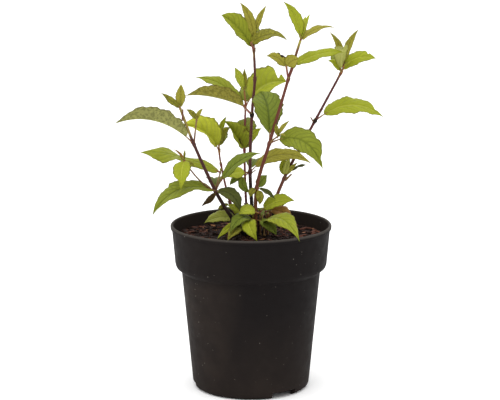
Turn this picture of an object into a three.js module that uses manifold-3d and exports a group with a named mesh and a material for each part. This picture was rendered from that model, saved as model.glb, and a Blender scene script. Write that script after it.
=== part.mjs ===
import * as THREE from 'three';
import { mergeVertices } from 'three/addons/utils/BufferGeometryUtils.js';
import Module from 'manifold-3d';

// A young shrubby dogwood in a round nursery pot.
// Millimetres, +Z up. The origin is the centre of the pot's standing plane; -Y is the photographed front.

const wasm = await Module();
wasm.setup();

// Driving dimensions
const gap = 0.35; // kept between neighbours
const turns = 30; // facets round the pot

const pot = {
  height: 175.2,
  lipRadius: 85,
  lipHeight: 4.5,
  bandTopRadius: 83.4, // just under the lip
  bandFootRadius: 80.1,
  bandFoot: 133.5, // height where the band starts to round inward
  crease: 126, // height where the band meets the body
  bodyTopRadius: 73.5,
  bodyFootRadius: 62.2,
  cornerHeight: 7.5,
  footRadius: 57.6, // outer edge of the standing ring
  wall: 1.4,
  lipRound: 0.9, // rounding of the lip's edges
  mouthDepth: 1.2, // how far the mouth's chamfer reaches down
  creaseDepth: 3, // how far the band overhangs the crease
  baseUnderside: 7, // the base plate is raised above the standing ring
  baseThickness: 1.6,
  ringWidth: 3, // flat width of the standing ring
  padRadius: 17, // flat pad in the middle of the underside
  padSlope: 1.5, // how far the pad's side spreads
};
// Foot corner: how far each point stands out from the standing ring, and how high
const footCorner = [[0, 0], [2.6, 1.2], [3.9, 3.6]];
const notch = { count: 3, firstAzimuth: 35, halfAngle: 13.5, height: 6.6, inward: 8, outward: 9 };
const drain = { count: 6, ring: 38, radius: 4.5, sides: 8 };
const cutterExtra = 1; // how far a cutter passes the face that it cuts
const soil = { middle: 163, edge: 161.6, flatRadius: 24 };

// Stems: the curve runs through the nodes, where leaves sit; radii at the foot and at the tip
const stems = {
  left: { foot: 2.2, tip: 1.3, nodes: [
    [-6, -4], [-19, -9, 182], [-37, -14, 213], [-59, -22, 264], [-73, -28, 303]] },
  behind: { foot: 1.5, tip: 0.8, nodes: [
    [-7, 6], [-22, 16, 194], [-32, 36, 232], [-34, 42, 246], [-35, 46, 259]] },
  slender: { foot: 1.5, tip: 0.9, nodes: [
    [-1, 9], [-5, 16, 192], [-7, 30, 249], [-6, 38, 294], [-7, 40, 310]] },
  middle: { foot: 2.1, tip: 1.2, nodes: [
    [3, 1], [-1, 3, 230], [1, 9, 290], [4, 11, 327], [3, 12, 358], [3, 12, 368]] },
  tall: { foot: 2.1, tip: 1.3, nodes: [
    [5, -6], [6, -12, 216], [19, -22, 265], [38, -33, 333], [50, -40, 374]] },
  right: { foot: 2.0, tip: 1.1, nodes: [
    [12, 0], [35, 6, 223], [67, 11, 283], [94, 16, 333], [97, 16, 341]] },
};
const flare = { height: 5, extra: 1.1 }; // root flare at the foot of each stem
const stubFlare = { height: 3, extra: 2.2 };
const stubTaper = 0.25; // share of its radius that a stub loses
const stemSides = 6;

// Old cut stubs that make up the root crown: place, height, radius, lean
const stubs = [
  { at: [4.5, 1.5], height: 26, radius: 3.4, lean: [0.02, -0.04] },
  { at: [7.5, -2], height: 18, radius: 2.8, lean: [0.12, -0.02] },
  { at: [1.5, 4.5], height: 20, radius: 2.6, lean: [-0.08, 0.08] },
];

// One leaf: tip measured from the middle of its spray, full width, rise of the midrib as a share
// of the length, where the upper side looks, and the share of it that is stalk. A leaf may also
// start away from there, and have a sideways bow, its widest place, and folds: how many degrees
// each half is turned up.
const toLight = [0, -0.6, 1];
const toFront = [0, -1, 0];
const toBack = [0, 0.3, 1];
const cupped = [0, -1, 1];
const leaf = (tip, width, arch, face = toLight, stalk = 0.12, look = {}) => (
  { tip, width, arch, face, stalk, ...look });

// Sprays sit at a node of a stem, or at the end of a side shoot; the low ones stand on the soil.
// Where sprays meet, one listed earlier keeps its shape.
const sprays = {
  left_tip: { stem: 'left', node: 4, leaves: [
    leaf([-19, -6, 17], 7, 0.06, [0.6, -1, 0.6], 0.02),
    leaf([3, 4, 25], 11, -0.04, toFront, 0.02, { fold: [10, 30] })] },
  left_upper: { stem: 'left', node: 3, leaves: [
    leaf([-79, -26, 29], 28, 0.15, [0, 0, 1], 0.12, { fold: [80, 20], widest: 0.5 })] },
  left_upper_shoot: { stem: 'left', node: 3, shoot: [3, -4, 26], leaves: [
    leaf([-11, -3, 12], 5.5, 0.1, [0, -1, 0.4], 0.05),
    leaf([7, -3, 13], 4.5, 0.1, [0, -1, 0.4], 0.05)] },
  left_shade: { stem: 'left', node: 2, leaves: [
    leaf([26, -10, -19], 17, 0.3, [0.4, -0.7, 1], 0.03),
    leaf([-16, -10, -11], 9, -0.04, toLight, 0.05, { bow: -0.1, fold: [35, 35] })] },
  left_lower: { stem: 'left', node: 2, leaves: [
    leaf([-65, -36, -17], 25, 0.19, [-0.3, -0.5, 1], 0.06)] },
  left_back: { stem: 'left', node: 2, shoot: [5, 5, 14], leaves: [
    leaf([-85, 23, 25], 25, 0.09, [0, -0.5, 1], 0.02, { fold: [-5, -12], widest: 0.5 })] },
  left_far: { stem: 'left', node: 2, leaves: [
    leaf([6, 52, 0], 20, 0.16, toBack)] },
  left_inner: { stem: 'left', node: 2, shoot: [6, -2, 12], leaves: [
    leaf([41, -14, 32], 18, 0.1, toLight, 0.03)] },
  left_shoot: { stem: 'left', node: 2, shoot: [-32, -14, 35], leaves: [
    leaf([-3, -20, -27], 19, 0.2, [-0.2, -1, 0.4], 0.02, { widest: 0.38 }),
    leaf([-11, -4, 13], 2.6, 0.1, toFront, 0.05),
    leaf([1, 2, 12], 2.6, 0.05, toFront, 0.05),
    leaf([11, -6, -6], 5, 0.1, toLight, 0.2)] },
  behind_upper: { stem: 'behind', node: 3, leaves: [
    leaf([-39, -22, 31], 36, 0.1, cupped, 0.1, { fold: [45, 45] }),
    leaf([14, -12, 26], 11, 0.15, [-0.5, -1, 0.5], 0.2)] },
  behind_far: { stem: 'behind', node: 3, leaves: [
    leaf([-4, 48, 12], 22, 0.15, toBack)] },
  behind_tip: { stem: 'behind', node: 4, leaves: [
    leaf([-10, -10, 26], 6, 0.05, toFront),
    leaf([9, 2, 24], 6, 0.05, toFront)] },
  behind_lower: { stem: 'behind', node: 1, leaves: [
    leaf([-14, -6, -6], 6, 0.05)] },
  slender_middle: { stem: 'slender', node: 2, leaves: [
    leaf([-21, -6, 32], 30, 0.02, [-0.4, -1, 1], 0.05, { fold: [85, 30] }),
    leaf([3, -8, 27], 12, 0.05, toFront, 0.05),
    leaf([19, 8, 23], 12, 0.1, toLight, 0.05)] },
  slender_low_far: { stem: 'slender', node: 2, leaves: [
    leaf([3, 40, 30], 24, 0.12, [0, -0.5, 1])] },
  slender_right: { stem: 'slender', node: 3, leaves: [
    leaf([43, -8, 30], 41, 0.15, cupped, 0.2, { fold: [45, 33], widest: 0.55 })] },
  slender_far: { stem: 'slender', node: 3, leaves: [
    leaf([8, 46, 20], 20, 0.12, toBack)] },
  slender_left: { stem: 'slender', node: 3, leaves: [
    leaf([-64, 10, 12], 28, 0.06, [0, 0, 1], 0.03, { fold: [80, 25], widest: 0.35 })] },
  slender_tip: { stem: 'slender', node: 4, leaves: [
    leaf([-10, -3, 27], 8, 0.02, toFront, 0.03, { widest: 0.55 }),
    leaf([0, 4, 25], 6.5, -0.04, toFront, 0.03)] },
  middle_low_left: { stem: 'middle', node: 1, leaves: [
    leaf([-27, -9, -3], 15, 0.06, [0, -1, 0.8], 0.2),
    leaf([1, -9, -21], 10, 0.1, [0.3, -1, 0.3], 0.25, { bow: 0.4 })] },
  middle_low_far: { stem: 'middle', node: 1, leaves: [
    leaf([4, 54, 0], 20, 0.15, toBack)] },
  middle_low_right: { stem: 'middle', node: 1, leaves: [
    leaf([65, 12, 8], 22, 0.22, [0, -0.35, 1], 0.1, { fold: [20, -10] })] },
  middle_upper: { stem: 'middle', node: 2, leaves: [
    leaf([-62, 60, 33], 20, 0.14, [0, -0.5, 1], 0.02, { away: [-8, 33, 3], widest: 0.5 })] },
  middle_right: { stem: 'middle', node: 4, leaves: [
    leaf([34, -10, 15], 20, 0.14, [0.1, -0.7, 1], 0.02, { away: [-3, -5, 8], widest: 0.25 })] },
  middle_far: { stem: 'middle', node: 4, leaves: [
    leaf([-4, 34, 28], 16, 0.12, toBack)] },
  middle_left: { stem: 'middle', node: 4, leaves: [
    leaf([-33, -8, 38], 26, 0.06, [0.2, -1, 0.8], 0.08, { fold: [35, 20], widest: 0.58 })] },
  middle_tip: { stem: 'middle', node: 5, leaves: [
    leaf([-14, 0, 40], 10, 0.08, toFront, 0.1),
    leaf([13, 2, 37], 6.5, 0.06, toFront, 0.2)] },
  tall_foot: { stem: 'tall', node: 1, leaves: [
    leaf([9, 6, 16], 9, 0.05, toFront, 0.05),
    leaf([20, 4, -8], 7, 0.08, toLight, 0.1),
    leaf([-7, -5, -9], 8, 0.2, toLight, 0.1),
    leaf([5, -6, -13], 7, 0.2, toLight, 0.15)] },
  tall_low_up: { stem: 'tall', node: 2, leaves: [
    leaf([-7, 36, 50], 33, 0.26, [0, -1, 0.3], 0.12, { fold: [30, 30], widest: 0.57 })] },
  tall_low_right: { stem: 'tall', node: 2, leaves: [
    leaf([55, -28, -21], 30, 0.27, [0.3, -1, 0.8], 0.14)] },
  tall_shoot: { stem: 'tall', node: 2, shoot: [8, -8, 8], leaves: [
    leaf([-2, -3, 15], 5, 0.05, toFront, 0.1),
    leaf([13, -2, 18], 4.5, 0.08, toFront, 0.1),
    leaf([9, -9, 2], 4, 0.2, toLight, 0.1)] },
  tall_left: { stem: 'tall', node: 3, leaves: [
    leaf([-23, -12, 26], 12, 0.15, [0, -1, 0.6], 0.04, { away: [-2, -2, 13] }),
    leaf([11, -9, 23], 15, 0.1, [0, -1, 0.3], 0.04, { away: [-2, -3, 14] })] },
  tall_right: { stem: 'tall', node: 3, leaves: [
    leaf([58, 25, 26], 15, 0.07, [0, -0.5, 1], 0.02, { away: [6, 1, 15], fold: [11, 0] })] },
  tall_tip: { stem: 'tall', node: 4, leaves: [
    leaf([-17, 0, 40], 11, 0.11, [0.2, -1, 0], 0.1, { fold: [20, 20] }),
    leaf([34, -8, 15], 13, 0.11, [0, -0.5, 1], 0.05, { widest: 0.3 }),
    leaf([10, 4, 28], 4.5, 0.03, toFront, 0.05),
    leaf([6, 20, 23], 8, 0.05, toFront, 0.05)] },
  right_lower: { stem: 'right', node: 1, leaves: [
    leaf([-3, 10, 20], 11, 0.05, [0, -1, 0.3], 0.15),
    leaf([6, -6, 24], 7, 0.05, toFront, 0.1),
    leaf([13, 0, 19], 5, 0.05, toFront, 0.15),
    leaf([28, 8, 15], 4.5, 0.15, [0, -0.1, 1], 0.4)] },
  right_middle: { stem: 'right', node: 2, leaves: [
    leaf([75, 22, 1], 25, 0.19, toLight, 0.13, { fold: [11, 0] })] },
  right_far: { stem: 'right', node: 3, leaves: [
    leaf([-4, 44, 14], 18, 0.15, toBack)] },
  right_front: { stem: 'right', node: 3, leaves: [
    leaf([1, -34, 31], 20, 0.18, [0, -0.3, 1], 0.1, { fold: [45, 45] }),
    leaf([-14, -4, 14], 12, 0.15, toLight, 0.15)] },
  right_upper: { stem: 'right', node: 3, leaves: [
    leaf([36, -6, 17], 16, 0.19, [0, -0.9, 0.8], 0.1, { widest: 0.47 })] },
  right_tip: { stem: 'right', node: 4, leaves: [
    leaf([-15, 2, 36], 7, 0.09, toFront, 0.1),
    leaf([15, -2, 39], 8, 0.08, toFront, 0.1)] },
  low_left: { foot: [-10, 1], shoot: [1, 3, 15], leaves: [
    leaf([-41, -4, -2], 20, 0.1, toLight, 0.25),
    leaf([-15, 12, 16], 14, 0.2)] },
  low_left_far: { foot: [-6, 12], shoot: [-1, 1, 14], leaves: [
    leaf([-27, 30, 1], 18, 0.2, toBack)] },
  low_front: { foot: [1, -9], shoot: [1, 1, 18], leaves: [
    leaf([-24, -27, -9], 16, 0.24, toLight, 0.02),
    leaf([-38, -21, -16], 9, 0.1),
    leaf([-27, -30, -16], 14, 0.1, toLight, 0.2),
    leaf([5, -32, -16], 17, 0.2, [-0.4, -0.8, 1], 0.12, { bow: 0.2 }),
    leaf([25, -18, -13], 14, 0.15, toLight, 0.25)] },
  low_top: { foot: [10, -5], shoot: [-1, 0, 25], leaves: [
    leaf([-22, -14, 1], 17, 0.19),
    leaf([37, -4, 14], 20, 0.13, toLight, 0.14)] },
  low_over_rim: { foot: [14, -6], shoot: [-1, 0, 15], leaves: [
    leaf([37, -67, -5], 24, 0.17, [0.2, -0.8, 1], 0.05, { fold: [11, 0], widest: 0.36 })] },
  low_right: { foot: [18, -1], shoot: [-3, 0, 25], leaves: [
    leaf([29, -6, -15], 17, 0.17, toLight, 0.2)] },
  low_right_far: { foot: [10, 8], shoot: [1, 1, 14], leaves: [
    leaf([14, 42, -2], 20, 0.2, toBack)] },
};
const blade = {
  keel: 1.4, // depth of the keel under the midrib
  fold: 10, // degrees that each half is turned up about the midrib
  widest: 0.43, // place along the blade
  stalkWidth: 2.4,
  stations: [0.13, 0.36, 0.62, 0.86], // shares of the blade's length where its width is set
  small: 20, // blades narrower than this have fewer stations
  fewStations: [0.25, 0.7],
  tipWidth: 0.3,
};
const core = { radius: 4.2, twigRadius: 1.3 };

// Finishes
const finish = (color, roughness) => new THREE.MeshStandardMaterial({ color, roughness, metalness: 0 });
const finishes = {
  pot: finish(0x262322, 0.5),
  soil: finish(0x2a1a14, 1),
  bark: finish(0x5a2c2c, 0.6),
  crown: finish(0x33211c, 0.9),
  leaf: finish(0x7f9330, 0.55),
};

// Joining and cutting
function toSolid(geometry) {
  geometry.deleteAttribute('normal');
  geometry.deleteAttribute('uv');
  const merged = mergeVertices(geometry, 1e-4);
  return new wasm.Manifold(new wasm.Mesh({
    numProp: 3,
    vertProperties: new Float32Array(merged.attributes.position.array),
    triVerts: new Uint32Array(merged.index.array),
  }));
}

function toMesh(name, solid, material) {
  const { vertProperties, triVerts } = solid.getMesh();
  const geometry = new THREE.BufferGeometry();
  geometry.setAttribute('position', new THREE.BufferAttribute(vertProperties, 3));
  geometry.setIndex(new THREE.BufferAttribute(triVerts, 1));
  geometry.computeVertexNormals();
  const mesh = new THREE.Mesh(geometry, material);
  mesh.name = name;
  return mesh;
}

const join = (solids) => solids.reduce((whole, solid) => whole.add(solid));
const largest = (solid) => solid.decompose()
  .reduce((best, piece) => (piece.volume() > best.volume() ? piece : best));
const vector = (values) => new THREE.Vector3(...values);

// A shape turned about the vertical axis, from [radius, height] pairs
function turned(profile) {
  const points = profile.map(([radius, height]) => new THREE.Vector2(radius, height));
  const geometry = new THREE.LatheGeometry(points, turns);
  geometry.rotateX(Math.PI / 2); // height runs along +Z
  return toSolid(geometry);
}

// Pot: outer and inner faces share the same taper, a wall apart
const bodyRadius = (height) => THREE.MathUtils.mapLinear(
  height, pot.cornerHeight, pot.crease, pot.bodyFootRadius, pot.bodyTopRadius);
const bandRadius = (height) => THREE.MathUtils.mapLinear(
  height, pot.bandFoot, pot.height - pot.lipHeight, pot.bandFootRadius, pot.bandTopRadius);
const innerFloor = pot.baseUnderside + pot.baseThickness;

function innerProfile(offset, top) {
  return [
    [bandRadius(top) - offset, top],
    [bandRadius(pot.bandFoot) - offset, pot.bandFoot],
    [pot.bodyTopRadius + 1 - offset, pot.crease + 1],
    [pot.bodyTopRadius - offset, pot.crease - 1],
    [bodyRadius(innerFloor) - offset, innerFloor + offset - pot.wall],
  ];
}

function makePot() {
  const { lipRadius, lipRound, height } = pot;
  const lipFoot = height - pot.lipHeight;
  const shell = turned([
    [0, 0],
    [pot.padRadius, 0],
    [pot.padRadius + pot.padSlope, pot.baseUnderside],
    [pot.bodyFootRadius - pot.wall - 1, pot.baseUnderside],
    [pot.footRadius - pot.ringWidth, 0],
    ...footCorner.map(([out, up]) => [pot.footRadius + out, up]),
    [pot.bodyFootRadius, pot.cornerHeight],
    [pot.bodyTopRadius, pot.crease],
    [pot.bodyTopRadius + lipRound, pot.crease + lipRound],
    [pot.bandFootRadius - lipRound, pot.bandFoot - pot.creaseDepth],
    [pot.bandFootRadius, pot.bandFoot],
    [pot.bandTopRadius, lipFoot],
    [lipRadius, lipFoot + lipRound],
    [lipRadius, height - lipRound],
    [lipRadius - lipRound, height],
    [pot.bandTopRadius - lipRound, height],
    ...innerProfile(pot.wall, height - pot.mouthDepth),
    [0, innerFloor],
  ]);
  const notches = ring(notch.count, (share) => notchCutter(notch.firstAzimuth + 360 * share));
  const drains = ring(drain.count, (share) => drainCutter(180 / drain.count + 360 * share));
  return shell.subtract(join([...notches, ...drains]));
}

// Equal pieces all round, each made for its share of the turn
const ring = (count, make) => Array.from({ length: count }, (_, k) => make(k / count));

// Azimuths run from the front towards the right
const onCircle = (radius, azimuth) => {
  const a = THREE.MathUtils.degToRad(azimuth);
  return [radius * Math.sin(a), -radius * Math.cos(a)];
};

function notchCutter(azimuth) {
  const inner = pot.footRadius - notch.inward;
  const outer = pot.footRadius + notch.outward;
  const outline = new THREE.Shape([
    [inner, azimuth - notch.halfAngle],
    [outer, azimuth - notch.halfAngle],
    [outer, azimuth + notch.halfAngle],
    [inner, azimuth + notch.halfAngle],
  ].map(([radius, angle]) => new THREE.Vector2(...onCircle(radius, angle))));
  const depth = notch.height + cutterExtra;
  const geometry = new THREE.ExtrudeGeometry(outline, { depth, bevelEnabled: false });
  geometry.translate(0, 0, -cutterExtra);
  return toSolid(geometry);
}

function drainCutter(azimuth) {
  const depth = 2 * (pot.baseThickness + cutterExtra);
  const geometry = new THREE.CylinderGeometry(drain.radius, drain.radius, depth, drain.sides);
  geometry.rotateX(Math.PI / 2);
  geometry.translate(...onCircle(drain.ring, azimuth), innerFloor);
  return toSolid(geometry);
}

function makeSoil() {
  const clear = pot.wall + gap;
  const sides = innerProfile(clear, soil.edge);
  return turned([
    [0, innerFloor + gap],
    ...sides.reverse(),
    [soil.flatRadius * 2, (soil.middle + soil.edge) / 2],
    [soil.flatRadius, soil.middle],
    [0, soil.middle],
  ]);
}

// A limb of round section along a curve, its radius given at each share of the length
function limb(curve, radiusAt, steps) {
  const rings = Array.from({ length: steps + 1 }, (_, k) => {
    const share = k / steps;
    const middle = curve.getPointAt(share);
    const along = share === 0 ? new THREE.Vector3(0, 0, 1) : curve.getTangentAt(share);
    const across = new THREE.Vector3(1, 0, 0).projectOnPlane(along).normalize();
    const other = along.clone().cross(across);
    return Array.from({ length: stemSides }, (_, j) => {
      const a = 2 * Math.PI * j / stemSides;
      return middle.clone()
        .addScaledVector(across, Math.cos(a) * radiusAt(share))
        .addScaledVector(other, Math.sin(a) * radiusAt(share));
    });
  });
  return closedRings(rings);
}

// Joins rings of equal size into a closed body. The diagonals of neighbouring sides lean opposite
// ways, so that both faces of a thin twisted sheet are split alike and keep clear of each other.
function closedRings(rings) {
  const sides = rings[0].length;
  const positions = rings.flat().flatMap((point) => point.toArray());
  const index = [];
  for (let k = 0; k + 1 < rings.length; k++) {
    for (let j = 0; j < sides; j++) {
      const a = k * sides + j;
      const b = k * sides + (j + 1) % sides;
      if (j % 2) {
        index.push(a, b, a + sides, b, b + sides, a + sides);
      } else {
        index.push(a, b, b + sides, a, b + sides, a + sides);
      }
    }
  }
  const last = (rings.length - 1) * sides;
  for (let j = 1; j + 1 < sides; j++) {
    index.push(0, j + 1, j, last, last + j, last + j + 1);
  }
  const geometry = new THREE.BufferGeometry();
  geometry.setAttribute('position', new THREE.Float32BufferAttribute(positions, 3));
  geometry.setIndex(index);
  return toSolid(geometry);
}

function stemCurve({ nodes }) {
  const points = nodes.map(([x, y, z]) => new THREE.Vector3(x, y, z ?? soil.middle + gap));
  return new THREE.CatmullRomCurve3(points, false, 'catmullrom', 0.5);
}

function stemSolid(stem, grow = 0) {
  const curve = stemCurve(stem);
  const length = curve.getLength();
  const radiusAt = (share) => THREE.MathUtils.lerp(stem.foot, stem.tip, share)
    + flare.extra * Math.exp(-share * length / flare.height) + grow;
  return limb(curve, radiusAt, 2 * stem.nodes.length);
}

function makeCrown() {
  const solids = stubs.map(({ at: [x, y], height, radius, lean }) => {
    const foot = soil.middle + gap;
    const curve = new THREE.LineCurve3(
      new THREE.Vector3(x, y, foot),
      new THREE.Vector3(x + lean[0] * height, y + lean[1] * height, foot + height));
    const radiusAt = (share) => radius * (1 - stubTaper * share)
      + stubFlare.extra * Math.exp(-share * height / stubFlare.height);
    return limb(curve, radiusAt, 2);
  });
  return join(solids);
}

// A leaf: a stalk, then a thin blade with a keel under its midrib, which arches up and over.
// A leaf with folds of its own has a crease above the keel as well, and one that starts away from
// its node is joined to it by a straight stalk.
function leafSolid(node, each, grow) {
  const { tip, width, arch, face, stalk, away, bow = 0, widest = blade.widest, fold } = each;
  const from = away ? node.clone().add(vector(away)) : node;
  const end = vector(tip).add(node).sub(from);
  const length = end.length();
  const heading = end.clone().normalize();
  const up = new THREE.Vector3(0, 0, 1).projectOnPlane(heading).normalize();
  const control = end.clone().multiplyScalar(0.5)
    .addScaledVector(up, 2 * arch * length)
    .addScaledVector(heading.cross(up), 2 * bow * length);
  const midrib = new THREE.QuadraticBezierCurve3(
    from, control.add(from), from.clone().addScaledVector(end, 1 + grow / length));
  const power = Math.log(0.5) / Math.log(widest);
  const halfWidth = (u) => Math.sin(Math.PI * u ** power) ** 0.85 * (1 - 0.45 * u ** 3) * width / 2;
  const section = (t, across, keel, [first, second]) => {
    const middle = midrib.getPoint(t);
    const along = midrib.getTangent(t);
    const side = along.clone().cross(vector(face)).normalize();
    const normal = side.clone().cross(along);
    const aslant = (degrees) => {
      const a = THREE.MathUtils.degToRad(degrees);
      return side.clone().multiplyScalar(Math.cos(a)).addScaledVector(normal, Math.sin(a));
    };
    const edge = (degrees, hand, rise) => middle.clone()
      .addScaledVector(aslant(hand * degrees), hand * across)
      .addScaledVector(aslant(hand * degrees + 90), rise);
    const above = aslant(90 + (second - first) / 2);
    const opening = Math.cos(THREE.MathUtils.degToRad((first + second) / 2));
    const rises = grow > 0 ? [grow, -grow] : [0];
    return [
      ...(fold ? [middle.clone().addScaledVector(above, grow / opening)] : []),
      ...rises.map((rise) => edge(second, 1, rise)),
      middle.clone().addScaledVector(above, -keel),
      ...rises.map((rise) => edge(first, -1, -rise)),
    ];
  };
  const thin = blade.stalkWidth / 2 + grow;
  const flat = [blade.fold, blade.fold];
  const stations = width < blade.small ? blade.fewStations : blade.stations;
  const solid = closedRings([
    section(0, thin, thin, flat),
    section(stalk, thin, thin, flat),
    ...stations.map((u) => section(
      stalk + (1 - stalk) * u,
      Math.max(halfWidth(u), blade.stalkWidth / 2) + grow,
      blade.keel * (1 - 0.5 * u) + grow,
      fold ?? flat)),
    section(1, blade.tipWidth + grow, blade.tipWidth + grow, flat),
  ]);
  return away ? solid.add(limb(new THREE.LineCurve3(node, from), () => thin, 1)) : solid;
}

// A spray: its leaves, the side shoot that carries it, and the swelling where they meet
function spraySolid({ stem, node, foot, shoot, leaves }, grow = 0) {
  const base = stem ? vector(stems[stem].nodes[node]) : new THREE.Vector3(...foot, soil.middle + gap);
  const middle = shoot ? base.clone().add(vector(shoot)) : base;
  const pieces = leaves.map((each) => leafSolid(middle, each, grow));
  if (shoot) {
    pieces.push(limb(new THREE.LineCurve3(base, middle), () => core.twigRadius + grow, 2));
  }
  if (shoot || leaves.length > 1) {
    const swelling = new THREE.OctahedronGeometry(core.radius + grow);
    swelling.translate(...middle.toArray());
    pieces.push(toSolid(swelling));
  }
  return join(pieces);
}

// Assembly: stems stay whole, and each spray is cut round them and round the sprays before it
const group = new THREE.Group();
group.add(toMesh('pot', makePot(), finishes.pot));
group.add(toMesh('soil', makeSoil(), finishes.soil));

let taken = join(Object.values(stems).map((stem) => stemSolid(stem, gap)));
for (const [name, stem] of Object.entries(stems)) {
  group.add(toMesh(`stem_${name}`, stemSolid(stem), finishes.bark));
}
group.add(toMesh('root_crown', largest(makeCrown().subtract(taken)), finishes.crown));
taken = taken.add(makeCrown());
for (const [name, spray] of Object.entries(sprays)) {
  group.add(toMesh(`leaves_${name}`, largest(spraySolid(spray).subtract(taken)), finishes.leaf));
  taken = taken.add(spraySolid(spray, gap));
}

export default group;
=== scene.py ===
# Looks of a young shrubby dogwood in a black nursery pot.
# Shapes are worked out in millimetres and put into the meshes in metres.
from functools import partial

import bmesh
import bpy
import numpy as np
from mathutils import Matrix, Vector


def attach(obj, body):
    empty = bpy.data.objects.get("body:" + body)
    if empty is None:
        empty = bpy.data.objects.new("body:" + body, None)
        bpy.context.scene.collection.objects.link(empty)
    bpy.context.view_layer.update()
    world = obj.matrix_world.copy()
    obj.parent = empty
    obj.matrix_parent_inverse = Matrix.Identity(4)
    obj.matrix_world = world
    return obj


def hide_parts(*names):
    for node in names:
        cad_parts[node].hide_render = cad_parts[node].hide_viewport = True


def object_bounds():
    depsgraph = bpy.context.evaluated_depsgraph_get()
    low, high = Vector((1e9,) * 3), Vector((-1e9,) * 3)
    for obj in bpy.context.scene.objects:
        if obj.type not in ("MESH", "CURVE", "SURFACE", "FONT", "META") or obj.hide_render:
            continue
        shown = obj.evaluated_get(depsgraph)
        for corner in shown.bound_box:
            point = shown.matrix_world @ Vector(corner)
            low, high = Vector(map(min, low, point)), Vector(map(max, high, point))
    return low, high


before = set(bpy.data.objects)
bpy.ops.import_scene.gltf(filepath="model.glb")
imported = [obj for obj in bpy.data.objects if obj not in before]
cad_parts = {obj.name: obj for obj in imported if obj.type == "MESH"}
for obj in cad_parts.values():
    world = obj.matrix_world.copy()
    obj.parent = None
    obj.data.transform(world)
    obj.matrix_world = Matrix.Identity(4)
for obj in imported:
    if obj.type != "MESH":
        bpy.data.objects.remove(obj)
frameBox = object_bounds()
mm = 0.001

# The photographed view
view = {
    "aim": (-1.06, 0, 200.8),
    "distance": 2000,
    "elevation": 11.52,  # degrees above the floor
    "lens": 136.8,
    "sensor": 36,
}


def makeCamera():
    # the camera stands in front and looks down at the aim point
    lift = np.radians(view["elevation"])
    away = view["distance"] * np.array([0, -np.cos(lift), np.sin(lift)])
    camera = bpy.data.cameras.new("camera")
    camera.lens = view["lens"]
    camera.sensor_width = view["sensor"]
    camera.clip_end = 100
    stand = bpy.data.objects.new("camera", camera)
    stand.location = (np.array(view["aim"]) + away) * mm
    stand.rotation_euler = (np.pi / 2 - lift, 0, 0)
    bpy.context.scene.collection.objects.link(stand)
    bpy.context.scene.camera = stand
    print(f"camera: {view['elevation']} degrees above level, {view['distance'] * mm} m away")


# Colours, nodes and skins
def linear(hexColour):
    # sRGB to linear: a straight foot below 0.04045, then a power of 2.4
    channels = np.array([int(hexColour[i:i + 2], 16) for i in (1, 3, 5)]) / 255
    curve = np.where(channels <= 0.04045, channels / 12.92, ((channels + 0.055) / 1.055) ** 2.4)
    return (*curve, 1.0)


def darker(hexColour, share):
    # the colour with that share of its light
    return (*(share * channel for channel in linear(hexColour)[:3]), 1.0)


def connect(tree, node, inputs):
    # each input takes a plain value, a socket, or another node's first output in use
    for key, value in inputs.items():
        if isinstance(value, bpy.types.Node):
            value = next(socket for socket in value.outputs if socket.enabled)
        if isinstance(value, bpy.types.NodeSocket):
            tree.links.new(value, node.inputs[key])
        else:
            node.inputs[key].default_value = value


def addNode(tree, kind, inputs=None, **settings):
    # a node with its settings and links
    new = tree.nodes.new("ShaderNode" + kind)
    for key, value in settings.items():
        setattr(new, key, value)
    connect(tree, new, inputs or {})
    return new


def newMaterial(name, roughness, specular, ior=1.45):
    # gives the material, a call that adds a node to it and a call that sets its shader's inputs
    material = bpy.data.materials.new(name)
    material.use_nodes = True
    tree = material.node_tree
    shader = tree.nodes["Principled BSDF"]
    connect(tree, shader, {"Roughness": roughness, "Specular IOR Level": specular, "IOR": ior})
    return material, partial(addNode, tree), partial(connect, tree, shader)


def layered(add, colour, layers):
    # colours laid over the first one after another, each by its own share
    for share, over in layers:
        colour = add("Mix", {0: share, 6: colour, 7: over}, data_type="RGBA")
    return colour


def twoTone(name, roughness, specular, dark, light, patches, spread=0.65, stretch=(1, 1, 1), relief=None):
    # a skin of two colours: patches is their size in millimetres and their detail, spread is where
    # the light colour is reached; relief is the size, detail and depth of the bumps
    material, add, finish = newMaterial(name, roughness, specular)
    place = add("Mapping", {"Vector": add("TexCoord").outputs["Object"], "Scale": stretch})
    size, detail = patches
    noise = add("TexNoise", {"Vector": place, "Scale": 1 / (size * mm), "Detail": detail})
    share = add("MapRange", {0: noise, 1: 0.35, 2: spread})
    finish({"Base Color": layered(add, dark, [(share, light)])})
    if relief:
        size, detail, depth = relief
        noise = add("TexNoise", {"Vector": place, "Scale": 1 / (size * mm), "Detail": detail})
        finish({"Normal": add("Bump", {"Height": noise, "Distance": depth * mm})})
    return material


# Meshes
def valueNoise(points, size, seed):
    # chance heights from -1 to 1 at the corners of cubes of the given size, blended smoothly inside
    place = points / size
    cell = np.floor(place).astype(np.int64)
    inside = place - cell
    inside = inside * inside * (3 - 2 * inside)
    total = np.zeros(points.shape[:-1])
    for corner in np.ndindex(2, 2, 2):
        key = cell + corner
        mixed = key[..., 0] * 73856093 ^ key[..., 1] * 19349663 ^ key[..., 2] * 83492791 ^ seed * 2654435761
        mixed = (mixed & 0xffffffff) * 2246822519 & 0xffffffff
        mixed = (mixed ^ mixed >> 15) * 3266489917 & 0xffffffff
        height = (mixed ^ mixed >> 13) / 2 ** 31 - 1
        total += height * np.where(corner, inside, 1 - inside).prod(-1)
    return total


def gridFaces(rows, columns):
    # four-sided faces between neighbouring points; they face out where columns turn left about the rows
    first = (np.arange(rows - 1)[:, None] * columns + np.arange(columns - 1)).ravel()
    return np.stack([first, first + 1, first + columns + 1, first + columns], -1)


def unit(vectors):
    return vectors / np.maximum(np.linalg.norm(vectors, axis=-1, keepdims=True), 1e-9)


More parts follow.
